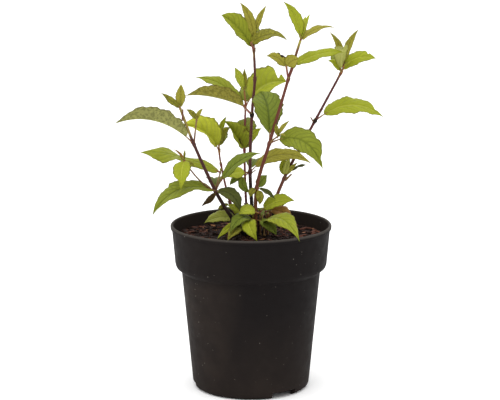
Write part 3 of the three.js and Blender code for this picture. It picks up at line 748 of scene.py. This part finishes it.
sprays = {
    "left_tip": {"stem": "left", "node": 4, "leaves": [
        leaf((-19, -6, 17), 8, 0.0, (0.6, -1, 0.6), 0.02, "olive"),
        leaf((1, 4, 25), 11, -0.04, toFront, 0.02, "young", fold=(10, 30))]},
    "left_upper": {"stem": "left", "node": 3, "leaves": [
        leaf((-79, -26, 28), 29, 0.145, (0, 0, 1), 0.12, "oliveWithPaintedSheen", fold=(80, 20), twist=0,
             widest=0.5, full=0.48, bites=((0.26, 0.12, 0.03, -1),))]},
    "left_upper_shoot": {"stem": "left", "node": 3, "shoot": (3, -4, 26), "leaves": [
        leaf((-11, -3, 12), 6, 0.1, (0, -1, 0.4), 0.05, "olive"),
        leaf((7, -3, 13), 4.5, 0.1, (0, -1, 0.4), 0.05, "young")]},
    "left_shade": {"stem": "left", "node": 2, "leaves": [
        leaf((26, -10, -20), 19, 0.24, (0.4, -0.7, 1), 0.03, "paintedShade"),
        leaf((-16, -10, -14), 9, -0.1, stalk=0.05, tone="brown", fold=35, bow=-0.1)]},
    "left_lower": {"stem": "left", "node": 2, "leaves": [
        leaf((-65, -36, -17), 28, 0.2, (-0.3, -0.5, 1), 0.04, full=0.6,
             bites=((0.6, 0.15, 0.03, 1),))]},
    "left_back": {"stem": "left", "node": 2, "shoot": (5, 5, 19), "leaves": [
        leaf((-85, 23, 19), 28, 0.06, (0, -0.5, 1), 0.02, tone="leafy", widest=0.5, full=0.55,
             fold=((-15, 15, 20, -25, -20), (-5, -20, -38, -5, 10)))]},
    "left_far": {"stem": "left", "node": 2, "leaves": [
        leaf((-3, 52, 0), 18, 0.16, toBack, tone="deep")]},
    "left_inner": {"stem": "left", "node": 2, "shoot": (6, -2, 12), "leaves": [
        leaf((41, -14, 32), 18, 0.1, (0, -0.6, 1), 0.03, "deep")]},
    "left_shoot": {"stem": "left", "node": 2, "shoot": (-32, -14, 35), "bow": -0.1, "leaves": [
        leaf((-3, -20, -27), 19, 0.2, (-0.2, -1, 0.4), 0.02, "fresh", widest=0.38,
             bites=((0.8, 0.6, 0.1, 1),)),
        leaf((-11, -4, 13), 2.6, 0.1, toFront, 0.05, "bronze"),
        leaf((1, 2, 12), 2.6, 0.05, toFront, 0.05, "olive"),
        leaf((11, -6, -6), 5, 0.1, toLight, 0.2, "olive")]},
    "behind_upper": {"stem": "behind", "node": 3, "leaves": [
        leaf((-39, -22, 32), 36, 0.12, cupped, 0.1, "paintedGlow", fold=45, twist=0),
        leaf((13, -12, 28), 11, 0.15, (-0.5, -1, 0.5), 0.2, "olive")]},
    "behind_far": {"stem": "behind", "node": 3, "leaves": [
        leaf((-4, 48, 12), 22, 0.15, toBack)]},
    "behind_tip": {"stem": "behind", "node": 4, "leaves": [
        leaf((-10, -10, 26), 6, 0.05, toFront, tone="young"),
        leaf((9, 2, 24), 6, 0.05, toFront, tone="fresh")]},
    "behind_lower": {"stem": "behind", "node": 1, "leaves": [
        leaf((-14, -6, -6), 6, 0.05, tone="olive")]},
    "slender_middle": {"stem": "slender", "node": 2, "leaves": [
        leaf((-21, -6, 33), 31, 0.02, (-0.4, -1, 1), 0.05, "leafy", fold=(75, 30), twist=0),
        leaf((3, -8, 27), 12, 0.05, toFront, 0.05, "olive"),
        leaf((19, 8, 23), 12, 0.1, stalk=0.05, tone="fresh")]},
    "slender_low_far": {"stem": "slender", "node": 2, "leaves": [
        leaf((3, 40, 30), 24, 0.12, (0, -0.5, 1))]},
    "slender_right": {"stem": "slender", "node": 3, "leaves": [
        leaf((43, -8, 29), 40, 0.15, cupped, 0.2, "paintedLight", fold=(45, 33), twist=0, widest=0.55,
             full=0.45, bites=((0.83, 0.75, 0.04, -1),))]},
    "slender_far": {"stem": "slender", "node": 3, "leaves": [
        leaf((8, 46, 20), 20, 0.12, toBack)]},
    "slender_left": {"stem": "slender", "node": 3, "leaves": [
        leaf((-64, 10, 12), 28, 0.06, (0, 0, 1), 0.03, "olive", fold=(80, 25), twist=0, widest=0.42)]},
    "slender_tip": {"stem": "slender", "node": 4, "leaves": [
        leaf((-10, -3, 27), 9, 0.02, toFront, 0.03, "paintedLight", widest=0.55),
        leaf((0, 4, 25), 6.5, -0.04, toFront, 0.03, "young")]},
    "middle_low_left": {"stem": "middle", "node": 1, "leaves": [
        leaf((-27, -9, -3), 15, 0.06, (0, -1, 0.8), 0.2, "paintedLight"),
        leaf((1, -9, -21), 10, 0.1, (0.3, -1, 0.3), 0.25, "deep", bow=0.4),
        leaf((-22, 0, -14), 8, 0.1, (0, -1, 0.6), 0.3, "deep")]},
    "middle_low_far": {"stem": "middle", "node": 1, "leaves": [
        leaf((10, 54, 0), 17, 0.15, toBack, tone="deep")]},
    "middle_low_right": {"stem": "middle", "node": 1, "leaves": [
        leaf((65, -4, 11), 17, 0.21, (0, -0.5, 1), 0.1, "young", fold=(20, -10), full=0.6)]},
    "middle_upper": {"stem": "middle", "node": 2, "leaves": [
        leaf((-62, 60, 32), 18, 0.125, (0, -0.5, 1), 0.02, "leafy", away=(-8, 33, 3), widest=0.5)]},
    "middle_right": {"stem": "middle", "node": 4, "leaves": [
        leaf((34, -10, 15), 20, 0.14, (0.1, -0.7, 1), 0.02, "olive", away=(-3, -5, 8), widest=0.34,
             full=0.55, hook=0.1, twist=15)]},
    "middle_far": {"stem": "middle", "node": 4, "leaves": [
        leaf((-4, 34, 28), 16, 0.12, toBack)]},
    "middle_left": {"stem": "middle", "node": 4, "leaves": [
        leaf((-33, -8, 38), 26, 0.06, (0.2, -1, 0.8), 0.08, "leafy", fold=(35, 20), full=0.45,
             widest=0.58)]},
    "middle_tip": {"stem": "middle", "node": 5, "leaves": [
        leaf((-14, 0, 40), 10, 0.08, toFront, 0.1, "young", full=0.6),
        leaf((13, 2, 37), 6.5, 0.06, toFront, 0.2, "young")]},
    "tall_foot": {"stem": "tall", "node": 1, "leaves": [
        leaf((11, 6, 13), 11, 0.05, toFront, 0.05, "deep"),
        leaf((20, 4, -13), 8, 0.08, stalk=0.1, tone="paintedShade"),
        leaf((-7, -5, -9), 8, 0.2, stalk=0.1, tone="olive"),
        leaf((3, -6, -17), 9, 0.2, stalk=0.15, tone="olive")]},
    "tall_low_up": {"stem": "tall", "node": 2, "leaves": [
        leaf((-10, 36, 50), 33, 0.26, (0, -1, 0.3), 0.12, "deep", fold=(30, 2), twist=0, widest=0.52)]},
    "tall_low_right": {"stem": "tall", "node": 2, "leaves": [
        leaf((55, -28, -21), 30, 0.27, (0.3, -1, 0.8), 0.14, twist=0,
             bites=((0.6, 0.15, 0.03, -1), (0.87, 0.5, 0.05, -1)))]},
    "tall_shoot": {"stem": "tall", "node": 2, "shoot": (8, -8, 8), "leaves": [
        leaf((-2, -3, 15), 5, 0.05, toFront, 0.1, "olive"),
        leaf((13, -2, 18), 4.5, 0.08, toFront, 0.1, "young"),
        leaf((9, -9, 2), 4, 0.2, stalk=0.1, tone="young")]},
    "tall_left": {"stem": "tall", "node": 3, "leaves": [
        leaf((-23, -12, 26), 12, 0.15, (0, -1, 0.6), 0.04, "young", away=(-2, -2, 13), twist=0,
             scorch=(0.4, 1), bites=((0.42, 0.3, 0.03, 1), (0.6, 0.3, 0.03, 1))),
        leaf((11, -9, 23), 15, 0.1, (0, -1, 0.3), 0.04, "young", away=(-2, -3, 14))]},
    "tall_right": {"stem": "tall", "node": 3, "leaves": [
        leaf((58, 25, 26), 15, 0.07, (0, -0.5, 1), 0.02, "fresh", away=(6, 1, 15), full=0.4,
             fold=(11, 0))]},
    "tall_tip": {"stem": "tall", "node": 4, "leaves": [
        leaf((-17, 0, 40), 12, 0.11, (0.2, -1, 0), 0.1, "fresh", fold=20),
        leaf((34, -8, 15), 13, 0.11, (0, -0.5, 1), 0.05, "young", widest=0.3),
        leaf((10, 4, 28), 4.5, 0.03, toFront, 0.05, "paintedLight"),
        leaf((6, 20, 23), 8, 0.05, toFront, 0.05, "paintedLight")]},
    "right_lower": {"stem": "right", "node": 1, "leaves": [
        leaf((0, 10, 20), 11, 0.05, (0, -1, 0.3), 0.15, "fresh"),
        leaf((6, -6, 24), 7, 0.05, toFront, 0.1, "pale"),
        leaf((14, -4, 18), 5, 0.05, toFront, 0.15, "young"),
        leaf((27, 7, 13), 5.5, 0.14, (0, -0.4, 1), 0.25, "paintedShade")]},
    "right_middle": {"stem": "right", "node": 2, "leaves": [
        leaf((75, 22, 1), 25, 0.19, toLight, 0.13, "fresh", full=0.65, fold=(11, 0),
             wave=0.016, bites=((0.3, 0.12, 0.04, -1), (0.84, 0.7, 0.022, -1)))]},
    "right_front": {"stem": "right", "node": 3, "leaves": [
        leaf((1, -34, 31), 20, 0.18, (0, -0.3, 1), 0.1, "striped", fold=(45, 45)),
        leaf((-14, -4, 14), 12, 0.15, toLight, 0.15, "fresh")]},
    "right_far": {"stem": "right", "node": 3, "leaves": [
        leaf((-4, 44, 14), 18, 0.15, toBack)]},
    "right_upper": {"stem": "right", "node": 3, "leaves": [
        leaf((36, -6, 17), 16, 0.19, (0, -0.9, 0.8), 0.1, "fresh", full=0.5, widest=0.52,
             bites=((0.8, 0.5, 0.02, -1),))]},
    "right_tip": {"stem": "right", "node": 4, "leaves": [
        leaf((-15, 2, 36), 7, 0.09, toFront, 0.1, "young"),
        leaf((15, -2, 39), 8, 0.08, toFront, 0.1, "young")]},
    "low_left": {"foot": (-10, 1), "shoot": (1, 3, 15), "leaves": [
        leaf((-41, -4, -2), 20, 0.12, stalk=0.2, tone="pale", full=0.62, bites=((0.85, 0.3, 0.05, 1),)),
        leaf((-17, 7, 15), 14, 0.2, tone="fresh")]},
    "low_left_far": {"foot": (-6, 12), "shoot": (-1, 1, 14), "leaves": [
        leaf((-27, 30, 1), 18, 0.2, toBack)]},
    "low_front": {"foot": (1, -9), "shoot": (1, 1, 18), "leaves": [
        leaf((-24, -27, -9), 16, 0.24, stalk=0.02, tone="deep"),
        leaf((-38, -21, -16), 9, 0.1, tone="fresh"),
        leaf((-27, -30, -16), 14, 0.1, stalk=0.2, tone="olive"),
        leaf((5, -32, -16), 17, 0.2, (-0.4, -0.8, 1), tone="fresh", bow=0.2),
        leaf((25, -18, -13), 14, 0.15, stalk=0.25, tone="deep")]},
    "low_top": {"foot": (10, -5), "shoot": (-1, 0, 25), "leaves": [
        leaf((-22, -14, 1), 17, 0.19, tone="paintedLight", full=0.6, away=(-2, -8, 1)),
        leaf((37, -4, 14), 20, 0.13, stalk=0.14, tone="fresh", full=0.6)]},
    "low_over_rim": {"foot": (14, -6), "shoot": (-1, 0, 15), "leaves": [
        leaf((37, -67, -5), 24, 0.17, (0.2, -0.8, 1), 0.05, "leafy", widest=0.36, fold=(11, 0))]},
    "low_right": {"foot": (18, -1), "shoot": (-3, 0, 25), "leaves": [
        leaf((29, -6, -9), 17, 0.19, stalk=0.15, tone="bronze")]},
    "low_right_far": {"foot": (10, 8), "shoot": (1, 1, 14), "leaves": [
        leaf((14, 42, -2), 20, 0.2, toBack, tone="deep")]},
}
blade = {
    "rows": (16, 72),  # on the smallest and on the largest leaf
    "columns": (8, 20),
    "thick": 0.3,
    "folded": 11,  # degrees that each half is turned up about the midrib
    "rolled": 0.06,  # drop of the edges as a share of the half width
    "groove": 0.35,
    "rib": 0.6,
    "quilt": 0.8,  # how far the skin swells between two veins
    "wave": 0.017,  # waviness of the edge as a share of the length
    "uneven": 0.07,  # dents and bulges of the outline as a share of the half width
    "hooked": 0.02,
    "veinGap": 0.095,  # from one side vein to the next at the foot, as a share of the blade
    "veinGrowth": 0.01,  # by how much each gap is wider than the one before
    "veinSweep": 0.3,  # how far a vein runs forward before it meets the edge
    "widest": 0.43,  # place along the blade
    "full": 0.75,  # below one the outline is fuller than a sine
}
tones = {  # upper side, underside, veins (where darker than the upper side, painted shade in the sunken veins; where paler, the veins' own colour), and how strongly the skin is mottled
    # painted glow of light shining through the leaf from behind
    "paintedGlow": ("#c0c53c", "#b9bd48", "#d0d35e", 0.2),
    # a brighter copy of the green that stands in for light falling on the leaf: painted light
    "paintedLight": ("#a6ae34", "#a9ad4c", "#bec458", 0.25),
    "fresh": ("#98a026", "#a09f45", "#b0b244", 0.3),
    "leafy": ("#8b9227", "#959747", "#6e791f", 0.35),
    "pale": ("#a5a94c", "#aaad60", "#8a9044", 0.4),
    "green": ("#7c8525", "#91934a", "#545f1b", 0.35),
    "deep": ("#707d29", "#757d43", "#404c1c", 0.4),
    # a darker copy of the deep green for leaves in the shade of others: painted shade
    "paintedShade": ("#4e5321", "#61632f", "#323616", 0.4),
    "brown": ("#4c3a1e", "#5a4526", "#33261a", 0.5),
    "olive": ("#88852b", "#958e3b", "#524f1e", 0.8),
    "young": ("#9a9437", "#9a9044", "#726929", 0.4),
    "bronze": ("#9c7236", "#8a6c40", "#5e3e28", 0.5),
    "striped": ("#b2b452", "#b4b660", "#d8dc9c", 0.3),
    # olive, with the painted grey sheen of gloss seen at a grazing angle
    "oliveWithPaintedSheen": ("#8b8c43", "#949455", "#5e612f", 0.85),
}


def leafCurve(start, each):
    # the midrib: a quadratic curve from start to the tip that rises by arch times its length and
    # swings sideways by bow times its length; the last third hooks down by the square of its share
    start = start + np.array(each.get("away", (0, 0, 0)))
    end = np.array(each["tip"], float) - each.get("away", (0, 0, 0))
    length = np.linalg.norm(end)
    along = end / length
    up = unit(np.array([0, 0, 1]) - along[2] * along)
    sideways = np.cross(along, up) * each.get("bow", 0)
    control = 0.5 * end + 2 * length * (each["arch"] * up + sideways)

    def at(t):
        t = np.asarray(t, float)[..., None]
        hooked = np.clip((t - 0.7) / 0.3, 0, 1) ** 2 * each.get("hook", blade["hooked"]) * length
        return start + 2 * t * (1 - t) * control + t ** 2 * end - hooked * up
    return at, length


def veinPhase(u, v):
    # veins leave the midrib and bend towards the tip; the phase is a whole number on each vein,
    # and the spacing of the veins grows evenly along the midrib
    gap, growth = blade["veinGap"], blade["veinGrowth"]
    reach = np.maximum(u - blade["veinSweep"] * np.abs(v) ** 1.5 - 0.06, -0.3)
    return (np.sqrt(np.maximum(gap ** 2 + 2 * growth * reach, 0)) - gap) / growth


def bladeParts(start, each, rng):
    # u runs from the stalk to the tip and v from edge to edge. Half width: a sine of a power of u
    # that puts its top at the widest place, filled out, drawn in at the tip and made uneven by
    # two sines along each edge. Each half is turned up about the midrib by its fold. Height above
    # the half: minus the roll of the edge, plus a wavy edge, plus swellings between the veins,
    # minus the groove of the midrib
    at, length = leafCurve(start, each)
    width, stalk = each["width"], each["stalk"]
    size = min(1, width / 20)
    rows, columns = (int(np.interp(length, [12, 75], blade[key])) // 2 * 2 for key in ("rows", "columns"))
    u = np.linspace(0, 1, rows + 1)[:, None]
    s = np.linspace(-1, 1, columns + 1)[None]
    v = np.sign(s) * np.abs(s) ** 1.3
    t = (stalk + (1 - stalk) * u)[:, 0]
    middle = at(t)
    along = unit(at(t + 0.01) - at(t - 0.01))
    turn = np.radians(each.get("twist", rng.normal(0, 6))) * u
    side = unit(np.cross(along, np.array(each["face"], float)))
    normal = np.cross(side, along)
    side, normal = (np.cos(turn) * side + np.sin(turn) * normal,
                    np.cos(turn) * normal - np.sin(turn) * side)
    power = np.log(0.5) / np.log(each.get("widest", blade["widest"]))
    half = np.sin(np.pi * u ** power).clip(0) ** (each.get("full", blade["full"]) + 0.5 * u ** 5)
    half = width / 2 * half * (1 - 0.3 * u ** 5)
    waves = rng.uniform(1.6, 2.8), rng.uniform(1.6, 2.8)
    starts = rng.uniform(0, 2 * np.pi, 2)
    runs = [2 * np.pi * wave * u + begin for wave, begin in zip(waves, starts)]
    crinkle = [0.6 * np.sin(2.3 * run) + 0.4 * np.sin(5.1 * run + 1) for run in runs]
    half = half * (1 + blade["uneven"] * np.abs(v) * np.where(v < 0, *crinkle))
    for where, depth, reach, hand in each.get("bites", ()):
        torn = depth * np.exp(-((u - where) / reach) ** 2)
        half = half * (1 - torn * (v * hand > 0) * np.abs(v))
    across = v * half

    folds = each.get("fold", blade["folded"])
    folds = folds if isinstance(folds, tuple) else (folds, folds)
    folds = [np.interp(u, np.linspace(0, 1, np.size(fold)), np.atleast_1d(fold)) for fold in folds]
    lean = np.radians(np.where(v < 0, *folds)) * np.tanh(v / 0.12)
    out = np.cos(lean)[..., None] * side[:, None] + np.sin(lean)[..., None] * normal[:, None]
    lift = np.cos(lean)[..., None] * normal[:, None] - np.sin(lean)[..., None] * side[:, None]

    phase = veinPhase(u, v)
    swell = np.abs(np.sin(np.pi * phase)) ** 0.7 * np.tanh(4 * np.abs(v)) * (1 - v ** 4)
    wave = np.where(v < 0, *np.sin(runs))
    wave = wave * np.abs(v) ** 2.2 * each.get("wave", blade["wave"]) * length * np.sin(np.pi * u) ** 0.5
    height = (wave - blade["rolled"] * half * v ** 2
              + blade["quilt"] * size * swell * np.sin(np.pi * u).clip(0) ** 0.5
              - blade["groove"] * size * np.exp(-(across / 0.9) ** 2))
    ends = np.sin(np.pi * u).clip(0) ** 0.3
    thick = blade["thick"] / 2 * (1 - np.abs(v) ** 6) * ends
    rib = blade["rib"] * size * (1 - u) ** 0.6 * np.exp(-(across / (0.8 * size)) ** 2) * ends
    base = middle[:, None] + across[..., None] * out
    uv = np.stack([phase, np.broadcast_to(v, phase.shape)], -1)
    top = base + (height + thick)[..., None] * lift
    under = base + (height - thick - rib)[..., None] * lift
    skins = [0, 1]
    if "scorch" in each:
        where, hand = each["scorch"]
        dead = (np.abs(u - where) < 0.16) & (v * hand > 0.55 + 0.12 * np.sin(31 * u))
        dead = (dead[:-1, :-1] & dead[1:, 1:]).ravel()
        skins = [np.where(dead, 2, 0), np.where(dead.reshape(rows, -1)[:, ::-1].ravel(), 2, 1)]
    return [gridPart(top, uv, skins[0]), gridPart(under[:, ::-1], uv[:, ::-1], skins[1])]


def stalkPart(start, each):
    # the stalk follows the midrib's curve a little way into the blade; where the curve starts
    # away from the node, the stalk runs there first
    at, length = leafCurve(start, each)
    t = np.linspace(0, each["stalk"] + 0.06, 14)
    size = 0.35 + 0.45 * min(1, each["width"] / 22)
    radius = size * (1 + 0.7 * np.exp(-t * length / 1.5) - 0.45 * (t / t[-1]) ** 2)
    lower = at(t) - np.array([0, 0, 0.1]) * (t / t[-1])[:, None]
    if "away" in each:
        share = np.linspace(0, 1, 8, endpoint=False)[:, None]
        lower = np.concatenate([start + share * np.array(each["away"]), lower])
        radius = np.concatenate([np.full(8, radius[0]), radius])
    return tubePart(lower, radius)


def budPart(place, direction, long, wide):
    # a pointed bud: a sine bulge drawn out to the tip
    share = np.linspace(0, 1, 9)
    path = np.array(place) + share[:, None] * long * unit(np.array(direction, float))
    radius = wide / 2 * np.sin(np.pi * np.clip(share, 0.12, 1) ** 0.6) ** 0.9 + 0.02
    return tubePart(path, radius, 8)


leafLook = {
    "patch": 9,  # sizes in millimetres of the patches, the net of specks and the grain
    "net": 2.4,
    "grain": 1.8,
    "dark": 0.45,  # light left where the skin is darkest
    "patches": 0.4,  # strength of the patches, the painted shade in the valleys along the veins, and the side veins
    "paintedValleys": 0.62,
    "sideVeins": 0.6,
    "margin": "#5e4524",
    "browned": 0.4,
    "underVeins": "#a9a964",
}


def leafSkin(name, colour, line, mottling, roughness, veins):
    # soft leaf skin with a dull gloss: patches of a few millimetres, a fine net of darker specks,
    # painted shade in the sunken valleys along the side veins, the veins and the midrib in the line
    # colour (on the darker tones painted shade of their sunken grooves), a brown margin
    material, add, finish = newMaterial(name, roughness, specular=0.12)
    coords = add("TexCoord").outputs
    place = coords["Object"]
    axes = add("SeparateXYZ", {0: coords["UV"]}).outputs
    beside = add("Math", {0: axes[0], 1: 0.5}, operation="PINGPONG")
    centre = add("Math", {0: axes[1]}, operation="ABSOLUTE")
    vein = add("MapRange", {0: beside, 1: 0.1, 2: 0, 4: leafLook["sideVeins"]})
    rib = add("MapRange", {0: centre, 1: 0.1, 2: 0.03})
    lines = add("Math", {0: vein, 1: rib}, operation="MAXIMUM")

    patches = add("TexNoise", {"Vector": place, "Scale": 1 / (leafLook["patch"] * mm), "Detail": 4})
    patches = add("MapRange", {0: patches, 1: 0.7, 2: 0.35, 4: leafLook["patches"]})
    net = add("TexNoise", {"Vector": place, "Scale": 1 / (leafLook["net"] * mm), "Detail": 3})
    net = add("MapRange", {0: net, 1: 0.56, 2: 0.44, 4: mottling})
    # painted shade in the sunken valleys along the side veins
    paintedValleyShade = add("MapRange", {0: beside, 1: 0.32, 2: 0, 4: leafLook["paintedValleys"]})
    mottlingAndShade = add("Math", {0: patches, 1: net}, operation="MAXIMUM")
    mottlingAndShade = add("Math", {0: mottlingAndShade, 1: paintedValleyShade}, operation="MAXIMUM")
    drawn = add("Math", {0: lines, 1: veins}, operation="MULTIPLY")
    margin = add("MapRange", {0: centre, 1: 0.86, 2: 1, 4: leafLook["browned"]})
    skin = layered(add, linear(colour), [
        (mottlingAndShade, darker(colour, leafLook["dark"])),
        (drawn, linear(line)),
        (margin, linear(leafLook["margin"])),
    ])

    grain = add("TexNoise", {"Vector": place, "Scale": 1 / (leafLook["grain"] * mm), "Detail": 3})
    relief = add("Bump", {"Height": grain, "Distance": 0.2 * mm})
    relief = add("Bump", {"Height": lines, "Distance": -0.2 * mm, "Normal": relief})
    finish({"Base Color": skin, "Normal": relief})
    return material


def stalkSkin():
    # fleshy stalks: red where they leave the stem, orange to yellow-green at the blade
    material, add, finish = newMaterial("red_leaf_stalk", 0.45, specular=0.4)
    share = add("SeparateXYZ", {0: add("TexCoord").outputs["UV"]}).outputs[0]
    share = add("MapRange", {0: share, 1: 0.1, 2: 1})
    finish({"Base Color": layered(add, linear("#70302c"), [(share, linear("#8d7a2e"))])})
    return material


def scorchedSkin():
    # dead leaf margin: papery, almost black
    return twoTone("scorched_leaf_margin", 0.8, 0.15, linear("#1a1310"), linear("#3b2b1d"), (1.5, 2))


def shootSkin():
    # this year's side shoots: thin red-brown skin over green
    return twoTone("young_side_shoot", 0.5, 0.4, linear("#5a3020"), linear("#80663a"), (4, 2))


def budSkin():
    # downy scales, dark at the edge and greenish in the middle
    return twoTone("downy_bud_scale", 0.8, 0.2, linear("#5c4026"), linear("#8c8a44"), (1.2, 2))


# Short dry ends of shoots that were cut or died back: foot, length and direction, radius
spurs = [
    {"foot": (66, 10.5, 281.5), "way": (-3.5, -2, 6), "radius": 0.75},
    {"foot": (36, 5, 221), "way": (6.5, -3, 7), "radius": 1.1},
    {"foot": (-70.5, -28.5, 290), "way": (0.5, -2, 12), "radius": 0.9},
    {"foot": (17, -6, 181), "way": (1.5, -5, 8), "radius": 1.3},
    {"foot": (-1, 3, 228), "way": (6, -3, 5), "radius": 0.6},
]
branching = {
    "seed": 21,
    "shrink": 0.66,  # each pair against the pair below it
    "smallest": 3.2,
    "spread": 28,  # degrees from the shoot
    "onShoot": (5, 7),  # lengths of the first pair beyond a side shoot and beyond a stem
    "onStem": (7, 9),
    "width": 0.32,  # of a small leaf, against its length
    "apart": 0.12,  # from one pair to the next, against the lower pair's length
    "bud": {"long": (2.2, 3.2), "wide": 1.3, "out": 1.2, "up": 0.8},  # side buds at each node
    "shoot": {"radii": [1.4, 0.95, 0.75], "swelling": 0.5},
}


def growTip(place, direction, size, rng):
    # opposite pairs of small leaves, each pair at right angles to the one before and smaller by
    # the shrink, until the terminal bud
    direction = unit(np.array(direction, float))
    across = unit(np.cross(direction, rng.normal(0, 1, 3)))
    leaves, place = [], np.array(place, float)
    while size > branching["smallest"]:
        spread = np.radians(branching["spread"] + rng.normal(0, 5))
        for hand in (1, -1):
            tip = size * (np.cos(spread) * direction + hand * np.sin(spread) * across)
            face = direction - hand * across
            width = branching["width"] * size
            leaves.append((place, leaf(tuple(tip), width, 0.08, tuple(face), tone="young")))
        place = place + branching["apart"] * size * direction
        across = np.cross(direction, across)
        size *= branching["shrink"]
    return leaves, budPart(place, direction, 0.9 * size, 0.4 * size)


def growCrown():
    # walks every stem and shoot: places the named leaves, then grows tips and buds by the rule
    rng = np.random.default_rng(branching["seed"])
    leaves, shoots, buds, stands = [], [], [], {}
    limb, small = branching["shoot"], branching["bud"]
    curves = {name: throughNodes(stem["nodes"], bark["step"]) for name, stem in stems.items()}
    for name, spray in sprays.items():
        if "stem" in spray:
            base = np.array(stems[spray["stem"]]["nodes"][spray["node"]], float)
        else:
            base = np.array([*spray["foot"], soilTop])
        middle = base
        if "shoot" in spray:
            middle = base + np.array(spray["shoot"])
            share = np.linspace(0, 1, 16)[:, None]
            bow = np.array([0, 0, spray.get("bow", 0.06) * np.linalg.norm(middle - base)])
            path = base + share * (middle - base) + 4 * share * (1 - share) * bow
            wide = np.interp(share[:, 0], [0, 0.12, 1], limb["radii"])
            wide = wide + limb["swelling"] * np.exp(-((share[:, 0] - 1) / 0.08) ** 2)
            shoots.append(tubePart(path, wide, 12))
            grown, bud = growTip(middle, middle - base, rng.uniform(*branching["onShoot"]), rng)
            leaves += grown
            buds.append(bud)
        leaves += [(middle, each) for each in spray["leaves"]]
        stands[f"leaves_{name}"] = spray["leaves"][0]["tone"]
    for spur in spurs:
        share = np.linspace(0, 1, 10)[:, None]
        path = np.array(spur["foot"]) + share * np.array(spur["way"])
        shoots.append(tubePart(path, spur["radius"] * np.linspace(1.2, 0.8, 10)))
    for name, (path, along, places) in curves.items():
        direction = path[-1] - path[-6]
        grown, bud = growTip(path[-1], direction, rng.uniform(*branching["onStem"]), rng)
        leaves += grown
        buds.append(bud)
        for place in places[1:-1]:
            k = int(np.searchsorted(along, place))
            direction = unit(path[k] - path[k - 2])
            across = unit(np.cross(direction, rng.normal(0, 1, 3)))
            for hand in (1, -1):
                start = path[k] + hand * small["out"] * across + small["up"] * direction
                way = direction + 0.5 * hand * across
                buds.append(budPart(start, way, rng.uniform(*small["long"]), small["wide"]))
    print(f"crown: {len(leaves)} leaves, {len(shoots)} side shoots and spurs, {len(buds)} buds")
    return leaves, shoots, buds, stands, rng


def makeCrown():
    leaves, shoots, buds, stands, rng = growCrown()
    blades = {tone: [] for tone in tones}
    stalks = []
    for start, each in leaves:
        blades[each["tone"]] += bladeParts(start, each, rng)
        stalks.append(stalkPart(start, each))
    scorched = scorchedSkin()
    for tone, (top, under, line, mottling) in tones.items():
        skins = [
            leafSkin(f"{tone}_leaf_top", top, line, mottling, 0.5, 0.6),
            leafSkin(f"{tone}_leaf_underside", under, leafLook["underVeins"], mottling, 0.7, 0.4),
            scorched,
        ]
        nodes = [node for node, first in stands.items() if first == tone]
        addPiece(f"leaves_{tone}_tint", blades[tone], skins, nodes)
    addPiece("leaf_stalks", stalks, [stalkSkin()], [])
    addPiece("side_shoots", shoots, [shootSkin()], [])
    addPiece("buds", buds, [budSkin()], [])


# Stage: pale floor, white surroundings, one large soft light above and to the left
stage = {
    "floor": 30,  # metres a side
    "white": "#fbfbfb",
    "above": 1.85,  # brightness of the surroundings overhead and all round
    "around": 1.0,
    "front": 0.7,  # dimmer on the camera's side
    "key": {"place": (-0.5, -0.9, 2.4), "size": 2.2, "power": 14},
}


def makeStage():
    mesh = bpy.data.meshes.new("studio_floor")
    half = stage["floor"] / 2
    mesh.from_pydata([(-half, -half, 0), (half, -half, 0), (half, half, 0), (-half, half, 0)], [],
                     [(0, 1, 2, 3)])
    floor = bpy.data.objects.new("studio_floor", mesh)
    bpy.context.scene.collection.objects.link(floor)
    material, _, finish = newMaterial("matt_white_floor", 0.9, specular=0.1)
    finish({"Base Color": linear(stage["white"])})
    mesh.materials.append(material)

    world = bpy.data.worlds.new("studio")
    world.use_nodes = True
    tree = world.node_tree
    way = addNode(tree, "TexCoord").outputs["Generated"]
    axes = addNode(tree, "SeparateXYZ", {0: way}).outputs
    height = addNode(tree, "MapRange", {0: axes[2], 3: stage["around"], 4: stage["above"]})
    front = addNode(tree, "MapRange", {0: axes[1], 1: -0.2, 2: -0.9, 3: 1, 4: stage["front"]})
    strength = addNode(tree, "Math", {0: height, 1: front}, operation="MULTIPLY")
    connect(tree, tree.nodes["Background"], {"Strength": strength, "Color": (1, 1, 1, 1)})
    bpy.context.scene.world = world

    key = bpy.data.lights.new("key", "AREA")
    key.shape = "DISK"
    key.size = stage["key"]["size"]
    key.energy = stage["key"]["power"]
    lamp = bpy.data.objects.new("key", key)
    lamp.location = stage["key"]["place"]
    bpy.context.scene.collection.objects.link(lamp)
    middle = (frameBox[0] + frameBox[1]) / 2
    lamp.rotation_euler = (lamp.location - middle).to_track_quat("Z", "Y").to_euler()
    bpy.context.scene.view_settings.view_transform = "Standard"
    print(f"stage: floor {stage['floor']} m wide, key light {stage['key']['size']} m wide")


makeCamera()
makeStage()
makePot()
makeSoil()
makeStems()
makeCrown()
